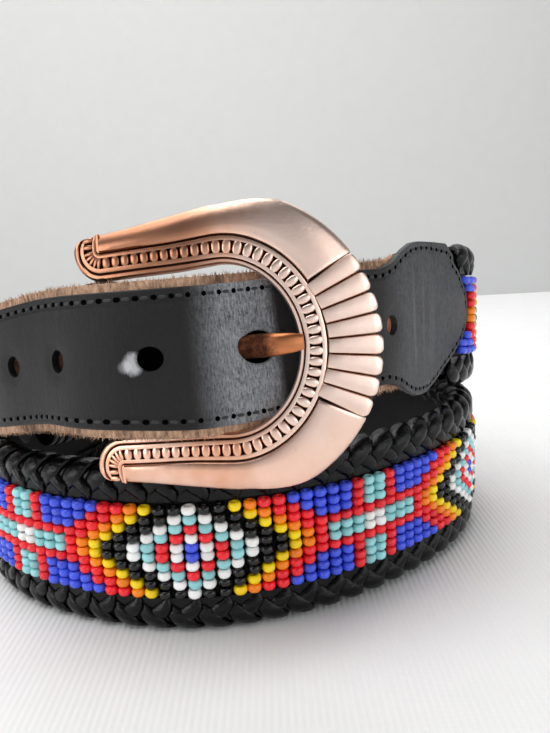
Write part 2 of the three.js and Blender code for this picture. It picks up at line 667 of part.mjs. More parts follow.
/** Slot in the fold of the buckle strap that the prong swings in. */
function slotTool(axes) {
  const reach = 2 * BAR_DIAMETER;
  const slot = new THREE.BoxGeometry(2 * reach, PRONG_WIDTH + 4 * METAL_GAP, BELT_WIDTH / 2);
  return toSolid(seat(slot.translate(GAP, 0, 0), axes.origin, axes.x, axes.y, axes.z));
}

// Finishes, as plain colours
const blackLeather = { color: 0x17181b, roughness: 0.5, metalness: 0 };
const laceLeather = { color: 0x101114, roughness: 0.35, metalness: 0 };
const rawLeather = { color: 0xa9764a, roughness: 0.85, metalness: 0 };
const glassBeads = { color: 0x3f57c8, roughness: 0.2, metalness: 0 };
const copper = { color: 0xb87a5c, roughness: 0.3, metalness: 1 };
const prongCopper = { color: 0xa05c34, roughness: 0.35, metalness: 1 };

const coil = new THREE.Group();

/** Adds one named piece with its own material. */
function addPiece(name, geometry, finish) {
  const mesh = new THREE.Mesh(geometry, new THREE.MeshStandardMaterial(finish));
  mesh.name = name;
  coil.add(mesh);
}

const axes = buckleAxes();
const frameSolid = toSolid(buckleFrame(axes));
const prong = prongSolid(axes, 0);
const prongWay = prongSolid(axes, METAL_GAP);
const holes = holeStations().map(holeTool);

/** Cuts the punched holes and the prong's way through a layer of the billet. */
function punched(geometry) {
  let solid = toSolid(geometry);
  for (const tool of holes) solid = solid.subtract(tool);
  return toGeometry(solid.subtract(prongWay));
}

addPiece('core_strap', coreStrap(), blackLeather);
addPiece('bead_band', beadBand(), glassBeads);
addPiece('laced_edge_top', lacedEdge(1), laceLeather);
addPiece('laced_edge_bottom', lacedEdge(-1), laceLeather);
addPiece('billet_face', punched(billetFace()), blackLeather);
addPiece('billet_lining', punched(billetLining()), rawLeather);
addPiece('buckle_strap', toGeometry(toSolid(buckleStrap(axes)).subtract(slotTool(axes))), blackLeather);
addPiece('buckle_frame', toGeometry(frameSolid), copper);
addPiece('buckle_prong', toGeometry(prong), prongCopper);

const bounds = new THREE.Box3().setFromObject(coil);
const middle = bounds.getCenter(new THREE.Vector3());
coil.position.set(-middle.x, -middle.y, -bounds.min.z);

export default coil;
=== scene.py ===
"""Beaded western belt, buckled and wound twice round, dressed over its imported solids.

Sizes are in millimetres until a piece is laid into the frame, which is in metres.
"""

from __future__ import annotations

import logging
import math
from dataclasses import dataclass, field
from enum import Enum
from typing import Callable, NamedTuple, Sequence

import bpy
import numpy as np
from mathutils import Matrix, Vector

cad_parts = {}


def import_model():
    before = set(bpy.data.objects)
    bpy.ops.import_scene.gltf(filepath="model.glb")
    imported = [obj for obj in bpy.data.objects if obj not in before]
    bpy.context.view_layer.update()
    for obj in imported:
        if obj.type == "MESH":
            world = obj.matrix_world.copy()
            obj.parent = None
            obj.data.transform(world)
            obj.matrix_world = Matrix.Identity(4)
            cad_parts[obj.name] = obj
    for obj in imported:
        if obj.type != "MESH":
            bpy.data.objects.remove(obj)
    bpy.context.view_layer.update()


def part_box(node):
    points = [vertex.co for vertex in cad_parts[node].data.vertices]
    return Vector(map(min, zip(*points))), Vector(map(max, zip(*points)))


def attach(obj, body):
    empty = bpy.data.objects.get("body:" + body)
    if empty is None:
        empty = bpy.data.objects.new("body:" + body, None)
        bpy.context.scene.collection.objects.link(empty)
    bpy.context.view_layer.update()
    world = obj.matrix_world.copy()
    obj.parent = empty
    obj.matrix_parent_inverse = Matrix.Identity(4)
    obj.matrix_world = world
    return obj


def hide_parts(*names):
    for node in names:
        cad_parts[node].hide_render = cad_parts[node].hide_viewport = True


LOG = logging.getLogger("beaded_belt")
MM = 0.001
Array = np.ndarray

# Distance from a seam that stands for no seam near, radius of a leather edge, and its share underneath
NO_SEAM = 9.0
LEATHER_ROUNDING = 0.45
UNDER_SHARE = 0.4


class PathRow(NamedTuple):
    """One row of the coil's middle line; reach and lift are shares of the coil and the belt."""

    turn: float
    reach: float
    lift: float
    lean: float


class TabRow(NamedTuple):
    """A point of a tab's outline, as shares of its half width and its length."""

    across: float
    reach: float


class FlareRow(NamedTuple):
    """How far a strap has widened to its tab at a share of the tab's length."""

    reach: float
    spread: float


class TipRow(NamedTuple):
    """Width of the billet's point, both as shares of the billet's width."""

    inward: float
    width: float


COIL_ROWS = (
    PathRow(0, 0.916, 0.5, 0), PathRow(25, 0.914, 0.5, 0), PathRow(48, 0.943, 0.5, 0),
    PathRow(68, 1.01, 0.5, 0), PathRow(86, 1.045, 0.5, 0), PathRow(104, 0.957, 0.508, 0),
    PathRow(128, 0.871, 0.566, 0), PathRow(155, 0.893, 0.658, 0), PathRow(180, 0.929, 0.737, 0),
    PathRow(205, 0.893, 0.829, 0), PathRow(232, 0.829, 0.947, 0), PathRow(262, 0.776, 1.092, 0),
    PathRow(292, 0.77, 1.315, 0), PathRow(318, 0.89, 1.48, 2), PathRow(337, 0.935, 1.585, 5),
    PathRow(352, 1.06, 1.625, 8), PathRow(367, 1.045, 1.64, 8), PathRow(384, 1.015, 1.66, 7),
    PathRow(400, 0.96, 1.645, 4), PathRow(421, 0.935, 1.62, 0), PathRow(440, 1.04, 1.55, 0),
    PathRow(456, 1.09, 1.51, 0), PathRow(476, 1.114, 1.42, 0), PathRow(500, 1.129, 1.211, 0),
    PathRow(525, 1.143, 0.974, 0), PathRow(550, 1.129, 0.75, 0), PathRow(574, 1.079, 0.579, 0),
    PathRow(597, 1.021, 0.505, 0), PathRow(622, 0.971, 0.5, 0), PathRow(650, 0.936, 0.5, 0),
    PathRow(675, 0.92, 0.5, 0), PathRow(698, 0.905, 0.5, 0),
)
TAB_END_ROWS = (
    TabRow(-1, 0.43), TabRow(-0.85, 0.61), TabRow(-0.6, 0.78), TabRow(-0.3, 0.93), TabRow(0, 1),
    TabRow(0.3, 0.96), TabRow(0.6, 0.84), TabRow(0.75, 0.75), TabRow(0.85, 0.74), TabRow(1, 0.65),
)
TAB_FLARE_ROWS = (
    FlareRow(0, 0), FlareRow(0.1, 0.22), FlareRow(0.2, 0.68), FlareRow(0.28, 0.93), FlareRow(0.36, 1),
)
TIP_ROWS = (
    TipRow(0, 0.3), TipRow(0.07, 0.52), TipRow(0.2, 0.72), TipRow(0.45, 0.92), TipRow(0.75, 1),
)


@dataclass(frozen=True)
class BeltSizes:
    """Driving sizes of the belt, the same ones as the solids have."""

    belt_width: float = 38.0
    core_width: float = 31.0
    core_thick: float = 3.0
    core_end_gap: float = 6.0
    coil_radius: float = 70.0
    billet_width: float = 28.0
    billet_face_width: float = 24.6
    billet_face_thick: float = 1.4
    lining_thick: float = 1.5
    tab_width: float = 36.0
    tab_length: float = 49.5
    strap_thick: float = 1.4
    layer_gap: float = 0.25
    prong_hole_at: float = 28.5
    hole_pitch: float = 18.0
    hole_diameter: float = 4.4
    billet_tip_at: float = -82.0
    billet_drop_start: float = 2.8
    billet_drop_end: float = 45.0
    tab_neck_at: float = 61.0
    lining_end_at: float = 74.0
    seam_inset: float = 1.55
    buckle_neck: float = 50.0
    strap_return: float = 34.0
    bar_turn: float = 349.0

    @property
    def billet_rise(self) -> float:
        """Height of the billet over the belt's line where it lies on the buckle strap."""
        return self.strap_thick + 4 * self.layer_gap + self.lining_thick


SIZES = BeltSizes()


def smooth_step(value: Array) -> Array:
    """Eases 0 to 1 without corners, for numbers or arrays."""
    held = np.clip(value, 0, 1)
    return held * held * (3 - 2 * held)


def eased(value: Array, low: float, high: float) -> Array:
    """Eases from 0 at low to 1 at high and is held outside."""
    return smooth_step((value - low) / (high - low))


def flare(distance: Array) -> Array:
    """Spread from 0, strap, to 1, tab, at a distance past a tab's neck."""
    reach = [row.reach * SIZES.tab_length for row in TAB_FLARE_ROWS]
    return np.interp(distance, reach, [row.spread for row in TAB_FLARE_ROWS])


def tab_reach(across: Array) -> Array:
    """Reach of a tab's end from its neck at a height across the belt."""
    places = [row.across * SIZES.tab_width / 2 for row in TAB_END_ROWS]
    return SIZES.tab_length * np.interp(across, places, [row.reach for row in TAB_END_ROWS])


def billet_rise(station: Array) -> Array:
    """How far the billet lies outside the belt's line at a station."""
    return SIZES.billet_rise * (1 - eased(station, SIZES.billet_drop_start, SIZES.billet_drop_end))


def hang(station: Array, across: Array) -> Array:
    """Heights across the billet, with its lower side drawn down beside the buckle.

    Args:
        station: places along the belt.
        across: heights across the billet before.

    Returns:
        The heights across it after.
    """
    most = 1.3
    pull = most * eased(station, 3, 20) * (1 - eased(station, 35, 47))
    return across - pull * eased(-across, 0, SIZES.billet_width / 2)


class Frames(NamedTuple):
    """Axes of the belt at a row of stations: origins and three unit directions."""

    origin: Array
    along: Array
    out: Array
    across: Array


@dataclass
class CoilPath:
    """The coil's middle line, on which every flat piece of the belt is laid."""

    samples: int = 960
    half_window: int = 7
    passes: int = 2
    tangent_step: float = 0.8
    shift: Array = field(default_factory=lambda: np.zeros(3))

    def __post_init__(self) -> None:
        """Samples the curve, evens it and measures the distance along it."""
        turns = np.radians([row.turn for row in COIL_ROWS])
        reach = SIZES.coil_radius * np.array([row.reach for row in COIL_ROWS])
        lift = SIZES.belt_width * np.array([row.lift for row in COIL_ROWS])
        points = np.stack([reach * np.sin(turns), -reach * np.cos(turns), lift], -1)
        line = self._curve(points)
        line[:, 2] = np.maximum(line[:, 2], SIZES.belt_width / 2)
        lean = self._between(np.array([row.lean for row in COIL_ROWS], float))
        line = np.column_stack([line, lean])
        for _ in range(self.passes):
            window = range(-self.half_window, self.half_window + 1)
            line = sum(np.roll(line, k, axis=0) for k in window) / len(window)
        steps = np.linalg.norm(np.roll(line, -1, 0)[:, :3] - line[:, :3], axis=1)
        self.distance = np.concatenate([[0], np.cumsum(steps)])
        self.length = float(self.distance[-1])
        self.line = np.vstack([line, line[:1]])
        angle = np.unwrap(np.arctan2(self.line[:, 0], -self.line[:, 1]))
        turned = np.degrees(angle - angle[0])
        self.bar_distance = float(np.interp(SIZES.bar_turn, turned, self.distance))

    def _curve(self, points: Array) -> Array:
        """Closed centripetal curve through the points.

        Args:
            points: the points in their order, the last one joined to the first.

        Returns:
            As many samples as the path has.
        """
        count = len(points)
        out = []
        for share in np.arange(self.samples) * count / self.samples:
            i = int(share)
            w = share - i
            a, b, c, d = (points[(i + k) % count] for k in (-1, 0, 1, 2))
            ab, bc, cd = (math.sqrt(np.linalg.norm(q - p)) for p, q in ((a, b), (b, c), (c, d)))
            leave = ((b - a) / ab - (c - a) / (ab + bc) + (c - b) / bc) * bc
            meet = ((c - b) / bc - (d - b) / (bc + cd) + (d - c) / cd) * bc
            square = -3 * b + 3 * c - 2 * leave - meet
            cube = 2 * b - 2 * c + leave + meet
            out.append(b + leave * w + square * w**2 + cube * w**3)
        return np.array(out)

    def _between(self, values: Array) -> Array:
        """Values of the rows, straight between them, at the samples."""
        share = np.arange(self.samples) * len(values) / self.samples
        low = share.astype(int)
        return values[low] + (share - low) * (values[(low + 1) % len(values)] - values[low])

    def _sample(self, distance: Array) -> Array:
        """Rows of the line at distances along it."""
        held = np.mod(distance, self.length)
        return np.stack([np.interp(held, self.distance, self.line[:, k]) for k in range(4)], -1)

    def frames(self, stations: Array) -> Frames:
        """Axes of the belt at stations from the buckle's bar.

        Args:
            stations: distances in mm, positive towards the billet's tab.

        Returns:
            Origins, and directions along, out of the face and up across the belt.
        """
        s = self.bar_distance + np.asarray(stations, float)
        here = self._sample(s)
        along = (self._sample(s + self.tangent_step) - self._sample(s - self.tangent_step))[:, :3]
        along /= np.linalg.norm(along, axis=1)[:, None]
        level = np.stack([along[:, 1], -along[:, 0], 0 * along[:, 0]], -1)
        level /= np.linalg.norm(level, axis=1)[:, None]
        upright = np.cross(level, along)
        upright *= np.sign(upright[:, 2:3])
        lean = np.radians(here[:, 3:4])
        across = upright * np.cos(lean) - level * np.sin(lean)
        out = level * np.cos(lean) + upright * np.sin(lean)
        return Frames(here[:, :3] + self.shift, along, out, across)

    def lay(self, flat: Array) -> Array:
        """Points of a flat piece laid on the coil.

        Args:
            flat: rows of station, height across and height out of the face, in mm.

        Returns:
            The points in the frame, in mm.
        """
        frames = self.frames(flat[:, 0])
        return frames.origin + frames.across * flat[:, 1:2] + frames.out * flat[:, 2:3]

    def settle(self) -> None:
        """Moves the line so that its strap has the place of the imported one."""
        low, high = (np.array(corner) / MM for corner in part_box("core_strap"))
        count = 900
        stations = np.linspace(SIZES.lining_end_at, self.length - SIZES.core_end_gap, count)
        half = SIZES.core_width / 2
        edge = np.concatenate([
            self.lay(np.column_stack([stations, np.full(count, u), np.full(count, v)]))
            for u in (-half, half) for v in (0.0, -SIZES.core_thick)])
        middle = (edge.min(0) + edge.max(0)) / 2
        self.shift = (low + high) / 2 - middle
        self.shift[2] = 0.0


@dataclass
class Shape:
    """Points and faces in mm, with values kept at the points."""

    points: Array
    faces: list
    values: dict = field(default_factory=dict)

    def outward(self) -> Shape:
        """Turns all faces round if the closed shape is inside out."""
        volume = 0.0
        for face in self.faces:
            a = self.points[face[0]]
            for b, c in zip(face[1:-1], face[2:]):
                volume += float(np.dot(a, np.cross(self.points[b], self.points[c])))
        if volume < 0:
            self.faces = [tuple(reversed(face)) for face in self.faces]
        return self

    @staticmethod
    def joined(shapes: Sequence[Shape]) -> Shape:
        """One shape made of several that keep the same values.

        Args:
            shapes: the shapes, in the order of their points in the result.

        Returns:
            The joined shape.
        """
        faces, start = [], 0
        for shape in shapes:
            faces += [tuple(i + start for i in face) for face in shape.faces]
            start += len(shape.points)
        keys = shapes[0].values
        values = {key: np.concatenate([shape.values[key] for shape in shapes]) for key in keys}
        return Shape(np.concatenate([shape.points for shape in shapes]), faces, values)


def sheet_shape(top: Array, bottom: Array, values: dict | None = None) -> Shape:
    """Closed solid between two grids of points.

    Args:
        top: grid of points, rows by columns by three.
        bottom: the same for the other side.
        values: named values at the grid's points, the same on both sides.

    Returns:
        The solid with side walls all round.
    """
    rows, columns = top.shape[:2]
    index = np.arange(rows * columns).reshape(rows, columns)
    under = index + rows * columns
    quads = np.stack([index[:-1, :-1], index[1:, :-1], index[1:, 1:], index[:-1, 1:]], -1).reshape(-1, 4)
    back = np.stack([under[:-1, :-1], under[:-1, 1:], under[1:, 1:], under[1:, :-1]], -1).reshape(-1, 4)
    rim = np.concatenate([index[0, :-1], index[:-1, -1], index[-1, :0:-1], index[:0:-1, 0]])
    low = rim + rows * columns
    wall = np.stack([rim, np.roll(rim, -1), np.roll(low, -1), low], -1)
    faces = [tuple(face) for face in np.concatenate([quads, back, wall]).tolist()]
    kept = {key: np.concatenate([v.reshape(rows * columns, -1)] * 2) for key, v in (values or {}).items()}
    return Shape(np.concatenate([top.reshape(-1, 3), bottom.reshape(-1, 3)]), faces, kept).outward()


def tube_shape(rings: Array, values: dict | None = None) -> Shape:
    """Closed solid swept through rings of points with flat ends.

    Args:
        rings: rings by points by three.
        values: named values at the rings' points.

    Returns:
        The solid, with its faces outward.
    """
    count, size = rings.shape[:2]
    index = np.arange(count * size).reshape(count, size)
    turned = np.roll(index, -1, axis=1)
    quads = np.stack([index[:-1], turned[:-1], turned[1:], index[1:]], -1).reshape(-1, 4)
    faces = [tuple(face) for face in quads.tolist()]
    faces += [tuple(reversed(index[0].tolist())), tuple(index[-1].tolist())]
    kept = {key: v.reshape(count * size, -1) for key, v in (values or {}).items()}
    return Shape(rings.reshape(-1, 3), faces, kept).outward()


def repeated(shape: Shape, places: Array, values: dict) -> Shape:
    """Copies of one shape's faces over many sets of points.

    Args:
        shape: the pattern, whose faces are used.
        places: copies by points by three.
        values: named values, one row for each copy.

    Returns:
        All copies as one shape.
    """
    copies, size = places.shape[:2]
    faces = []
    by_length: dict[int, list] = {}
    for face in shape.faces:
        by_length.setdefault(len(face), []).append(face)
    for group in by_length.values():
        base = np.array(group)[None] + (np.arange(copies) * size)[:, None, None]
        faces += [tuple(face) for face in base.reshape(-1, base.shape[-1]).tolist()]
    spread = {key: np.repeat(np.asarray(v), size, axis=0) for key, v in values.items()}
    return Shape(places.reshape(-1, 3), faces, spread)


class Bench:
    """Makes, cuts and finishes Blender objects."""

    kinds = {1: ("FLOAT", "value"), 3: ("FLOAT_VECTOR", "vector"), 4: ("FLOAT_COLOR", "color")}

    @staticmethod
    def clear() -> None:
        """Leaves object mode with nothing selected."""
        if bpy.context.object and bpy.context.object.mode != "OBJECT":
            bpy.ops.object.mode_set(mode="OBJECT")
        bpy.ops.object.select_all(action="DESELECT")

    @staticmethod
    def pick(piece: bpy.types.Object) -> None:
        """Selects one object and makes it active."""
        Bench.clear()
        piece.select_set(True)
        bpy.context.view_layer.objects.active = piece

    @staticmethod
    def piece(name: str, shape: Shape, scale: float = MM) -> bpy.types.Object:
        """An object with its mesh and values from a shape.

        Args:
            name: the object's name, which its mesh takes too.
            shape: points, faces and values.
            scale: length of a unit of the points, 1 for a shape that is still flat.

        Returns:
            The object, linked to the scene.
        """
        mesh = bpy.data.meshes.new(name)
        mesh.from_pydata((shape.points * scale).tolist(), [], shape.faces)
        for key, value in shape.values.items():
            kind, slot = Bench.kinds[value.shape[1]]
            mesh.attributes.new(key, kind, "POINT").data.foreach_set(slot, value.astype(np.float32).ravel())
        mesh.update()
        made = bpy.data.objects.new(name, mesh)
        bpy.context.scene.collection.objects.link(made)
        return made

    @staticmethod
    def apply(piece: bpy.types.Object, kind: str, **settings: object) -> None:
        """Adds one modifier and applies it.

        Args:
            piece: the object.
            kind: the modifier's type.
            settings: its properties by name.
        """
        Bench.pick(piece)
        modifier = piece.modifiers.new(kind.lower(), kind)
        for key, value in settings.items():
            setattr(modifier, key, value)
        bpy.ops.object.modifier_apply(modifier=modifier.name)

    @staticmethod
    def smooth(piece: bpy.types.Object, degrees: float = 40.0) -> None:
        """Smooth shading, broken at edges sharper than the angle."""
        Bench.pick(piece)
        bpy.ops.object.shade_smooth_by_angle(angle=math.radians(degrees))

    @staticmethod
    def cut(piece: bpy.types.Object, tool: bpy.types.Object) -> None:
        """Cuts a tool out of a piece and removes the tool."""
        Bench.apply(piece, "BOOLEAN", operation="DIFFERENCE", object=tool, solver="EXACT")
        bpy.data.objects.remove(tool)

    @staticmethod
    def face_outward(piece: bpy.types.Object) -> None:
        """Turns the faces of a closed piece outward."""
        Bench.pick(piece)
        bpy.ops.object.mode_set(mode="EDIT")
        bpy.ops.mesh.select_all(action="SELECT")
        bpy.ops.mesh.normals_make_consistent(inside=False)
        Bench.clear()

    @staticmethod
    def join(name: str, parts: Sequence[bpy.types.Object]) -> bpy.types.Object:
        """Several objects as one.

        Args:
            name: name of the result.
            parts: the objects, of which the first takes in the others.

        Returns:
            The joined object.
        """
        Bench.clear()
        for part in parts:
            part.select_set(True)
        bpy.context.view_layer.objects.active = parts[0]
        bpy.ops.object.join()
        parts[0].name = name
        return parts[0]

    @staticmethod
    def points(piece: bpy.types.Object) -> Array:
        """The mesh's points as an array."""
        out = np.zeros(len(piece.data.vertices) * 3)
        piece.data.vertices.foreach_get("co", out)
        return out.reshape(-1, 3)

    @staticmethod
    def move_points(piece: bpy.types.Object, points: Array) -> None:
        """Gives the mesh new places for its points."""
        piece.data.vertices.foreach_set("co", points.ravel())
        piece.data.update()

    @staticmethod
    def keep(piece: bpy.types.Object, name: str, value: Array) -> None:
        """Stores a vector for each point."""
        found = piece.data.attributes.get(name) or piece.data.attributes.new(name, "FLOAT_VECTOR", "POINT")
        found.data.foreach_set("vector", value.astype(np.float32).ravel())


class Value:
    """A socket of numbers that takes part in arithmetic."""

    def __init__(self, sheet: NodeSheet, socket: bpy.types.NodeSocket) -> None:
        """Keeps the sheet and the socket."""
        self.sheet = sheet
        self.socket = socket

    def _math(self, operation: str, *terms: object) -> Value:
        """One Math node over the terms."""
        return self.sheet.value("ShaderNodeMath", {"operation": operation}, dict(enumerate(terms)))

    def __add__(self, other: object) -> Value:
        """Sum."""
        return self._math("ADD", self, other)

    def __sub__(self, other: object) -> Value:
        """Difference."""
        return self._math("SUBTRACT", self, other)

    def __rsub__(self, other: object) -> Value:
        """Difference from a number."""
        return self._math("SUBTRACT", other, self)

    def __mul__(self, other: object) -> Value:
        """Product."""
        return self._math("MULTIPLY", self, other)

    __radd__ = __add__
    __rmul__ = __mul__

    def __truediv__(self, other: object) -> Value:
        """Quotient."""
        return self._math("DIVIDE", self, other)

    def __abs__(self) -> Value:
        """Size without sign."""
        return self._math("ABSOLUTE", self)

    def fraction(self) -> Value:
        """Part after the point."""
        return self._math("FRACT", self)

    def ramp(self, low: float, high: float) -> Value:
        """0 at low to 1 at high, eased, held outside."""
        settings = {"interpolation_type": "SMOOTHSTEP"}
        return self.sheet.value("ShaderNodeMapRange", settings, {0: self, 1: low, 2: high, 3: 0.0, 4: 1.0})


class NodeSheet:
    """The nodes of one material around its Principled shader."""

    def __init__(self, name: str) -> None:
        """Makes the material and finds its shader."""
        self.material = bpy.data.materials.new(name)
        self.material.use_nodes = True
        self.tree = self.material.node_tree
        self.shader = self.tree.nodes["Principled BSDF"]

    def node(self, kind: str, settings: dict | None = None, inputs: dict | None = None) -> bpy.types.Node:
        """Adds a node.

        Args:
            kind: the node's type.
            settings: its properties, or the stops of a ramp, set first.
            inputs: values or links of its sockets, by name or number.

        Returns:
            The new node.
        """
        made = self.tree.nodes.new(kind)
        for key, value in (settings or {}).items():
            if key == "stops":
                ramp = made.color_ramp
                while len(ramp.elements) < len(value):
                    ramp.elements.new(0.5)
                for element, (place, colour) in zip(ramp.elements, value):
                    element.position = place
                    element.color = (*colour, 1.0)
            else:
                setattr(made, key, value)
        for key, value in (inputs or {}).items():
            self.feed(made.inputs[key], value)
        return made

    def feed(self, socket: bpy.types.NodeSocket, value: object) -> None:
        """Links a value or socket, or sets a constant.

        Args:
            socket: the input.
            value: a Value, an output, a colour of three parts or a plain value.
        """
        if isinstance(value, Value):
            self.tree.links.new(value.socket, socket)
        elif isinstance(value, bpy.types.NodeSocket):
            self.tree.links.new(value, socket)
        elif isinstance(value, tuple) and socket.type == "RGBA":
            socket.default_value = (*value, 1.0)
        else:
            socket.default_value = value

    def value(self, kind: str, settings: dict | None = None, inputs: dict | None = None) -> Value:
        """A node's first output as a value."""
        return Value(self, self.node(kind, settings, inputs).outputs[0])

    def kept(self, name: str) -> bpy.types.Node:
        """Node that reads a value kept at the piece's points."""
        return self.node("ShaderNodeAttribute", {"attribute_name": name})

    def parts(self, vector: bpy.types.NodeSocket) -> tuple[Value, Value, Value]:
        """The three numbers of a vector."""
        made = self.node("ShaderNodeSeparateXYZ", None, {0: vector})
        return tuple(Value(self, socket) for socket in made.outputs)

    def noise(self, vector: object, scale: tuple[float, float, float], detail: float = 3.0,
              rough: float = 0.55) -> Value:
        """Noise over a vector.

        Args:
            vector: places on the piece.
            scale: how often the noise changes along each axis.
            detail: number of finer layers.
            rough: strength of the finer layers.

        Returns:
            The noise, mostly from 0.3 to 0.7.
        """
        stretched = self.node("ShaderNodeMapping", None, {"Vector": vector, "Scale": scale}).outputs[0]
        inputs = {"Vector": stretched, "Scale": 1.0, "Detail": detail, "Roughness": rough}
        return self.value("ShaderNodeTexNoise", None, inputs)

    def mix(self, factor: object, first: object, second: object) -> bpy.types.NodeSocket:
        """Colour between two colours."""
        made = self.node("ShaderNodeMix", {"data_type": "RGBA"}, {0: factor, 6: first, 7: second})
        return made.outputs[2]

    def bump(self, height: Value, distance: float, strength: float = 1.0) -> None:
        """Feeds the shader's normal from a height."""
        inputs = {"Strength": strength, "Distance": distance, "Height": height}
        made = self.node("ShaderNodeBump", None, inputs)
        self.feed(self.shader.inputs["Normal"], made.outputs[0])

    def set(self, **inputs: object) -> None:
        """Sets the shader's sockets by their names, with _ for a space."""
        for key, value in inputs.items():
            self.feed(self.shader.inputs[key.replace("_", " ")], value)

    @property
    def place(self) -> bpy.types.NodeSocket:
        """Object coordinates, in metres."""
        return self.node("ShaderNodeTexCoord").outputs["Object"]


class PalePatch(NamedTuple):
    """A pale patch in the colour: its middle, its reach along and across, and its strength."""

    station: float
    height: float
    length: float
    width: float
    strength: float


class PaintedSheen(NamedTuple):
    """A stretch of painted sheen, a reflection painted into the colour: the stations where it starts, is
    full, fades and ends, and its strength.
    """

    start: float
    full: float
    fading: float
    end: float
    strength: float


@dataclass(frozen=True)
class GrainLeather:
    """Black strap leather: fine fibre grain, creases, pressed seams, pale patches, and stretches of painted
    sheen in its colour.
    """

    name: str
    dark: tuple[float, float, float] = (0.0016, 0.0015, 0.0018)
    light: tuple[float, float, float] = (0.011, 0.0085, 0.0085)
    pale_patch_colour: tuple[float, float, float] = (0.5, 0.5, 0.52)
    painted_sheen_colour: tuple[float, float, float] = (0.27, 0.28, 0.3)
    roughness: float = 0.3
    pale_patches: tuple[PalePatch, ...] = ()
    painted_sheens: tuple[PaintedSheen, ...] = ()

    def material(self) -> bpy.types.Material:
        """Builds the finish."""
        sheet = NodeSheet(self.name)
        flat = sheet.kept("flat").outputs["Vector"]
        fibre = sheet.noise(flat, (3.6, 0.7, 1.0), 5.0, 0.72)
        pores = sheet.noise(flat, (2.2, 2.2, 2.2), 3.0, 0.7)
        creases = sheet.noise(flat, (0.32, 0.03, 0.1), 2.0)
        worn = sheet.noise(flat, (0.08, 0.1, 0.1), 3.0)
        beside = Value(sheet, sheet.kept("seam").outputs["Fac"])
        channel = 1 - abs(beside).ramp(0.5, 1.1)
        along, across, _ = sheet.parts(flat)
        pale = 0.0
        # Pale patches: rubbed wear, which by the worn hole also carries a painted highlight.
        for pale_patch in self.pale_patches:
            first = (along - pale_patch.station) / pale_patch.length
            second = (across - pale_patch.height) / pale_patch.width
            reach = first * first + second * second + fibre * 0.9 - 0.45
            pale = pale + (1 - reach.ramp(0.1, 1.0)) * pale_patch.strength
        shade = (fibre * 0.6 + worn * 0.4).ramp(0.3, 0.75)
        base = sheet.mix(shade, self.dark, self.light)
        streaks = (fibre * 0.6 + pores * 0.25 + worn * 0.15).ramp(0.3, 0.7)
        # Painted sheen: a pale reflection painted into the colour, stretch by stretch.
        for painted_sheen in self.painted_sheens:
            painted_glow = along.ramp(painted_sheen.start, painted_sheen.full) * (1 - along.ramp(painted_sheen.fading, painted_sheen.end))
            base = sheet.mix(painted_glow * streaks * painted_sheen.strength, base, self.painted_sheen_colour)
        sheet.set(Base_Color=sheet.mix(pale, base, self.pale_patch_colour) if self.pale_patches else base)
        sheet.set(Roughness=self.roughness + fibre * 0.2 + worn * 0.12)
        sheet.set(Specular_IOR_Level=0.27)
        height = fibre * 0.55 + pores * 0.3 + creases * 0.5 - channel * 0.5
        sheet.bump(height, 0.3 * MM)
        return sheet.material


@dataclass(frozen=True)
class GlossLeather:
    """Black lacing leather with a waxed shine."""

    name: str
    dark: tuple[float, float, float] = (0.001, 0.001, 0.0012)
    light: tuple[float, float, float] = (0.004, 0.0042, 0.005)
    roughness: float = 0.16

    def material(self) -> bpy.types.Material:
        """Builds the finish."""
        sheet = NodeSheet(self.name)
        flat = sheet.kept("flat").outputs["Vector"]
        grain = sheet.noise(flat, (1.1, 1.1, 1.1), 4.0, 0.6)
        wrinkle = sheet.noise(flat, (0.4, 0.9, 0.4), 3.0, 0.6)
        sheet.set(Base_Color=sheet.mix(grain.ramp(0.3, 0.8), self.dark, self.light))
        sheet.set(Roughness=self.roughness + grain * 0.12)
        sheet.set(Specular_IOR_Level=0.22)
        sheet.bump(grain * 0.3 + wrinkle * 0.7, 0.3 * MM)
        return sheet.material


@dataclass(frozen=True)
class RawLeather:
    """Undyed brown flesh side, fibrous and matt."""

    name: str
    dark: tuple[float, float, float] = (0.09, 0.04, 0.022)
    light: tuple[float, float, float] = (0.68, 0.42, 0.27)

    def material(self) -> bpy.types.Material:
        """Builds the finish."""
        sheet = NodeSheet(self.name)
        flat = sheet.kept("flat").outputs["Vector"]
        fibre = sheet.noise(flat, (1.6, 0.5, 1.6), 5.0, 0.7)
        patch = sheet.noise(flat, (0.12, 0.12, 0.12), 3.0)
        shade = (fibre * 0.65 + patch * 0.35).ramp(0.32, 0.68)
        sheet.set(Base_Color=sheet.mix(shade, self.dark, self.light))
        sheet.set(Roughness=0.7 + fibre * 0.25)
        sheet.bump(fibre, 0.35 * MM)
        return sheet.material


@dataclass(frozen=True)
class BeadGlass:
    """Opaque polished seed-bead glass in the colour of each bead."""

    name: str
    cloudy: tuple[float, float, float] = (0.5, 0.5, 0.5)

    def material(self) -> bpy.types.Material:
        """Builds the finish."""
        sheet = NodeSheet(self.name)
        tint = sheet.kept("tint").outputs["Color"]
        cloud = sheet.noise(sheet.place, (900.0, 900.0, 900.0), 2.0)
        sheet.set(Base_Color=sheet.mix(cloud.ramp(0.35, 0.9) * 0.02, tint, self.cloudy))
        sheet.set(Roughness=0.13 + cloud * 0.1)
        sheet.set(Specular_IOR_Level=0.3, Coat_Weight=0.3, Coat_Roughness=0.08)
        return sheet.material


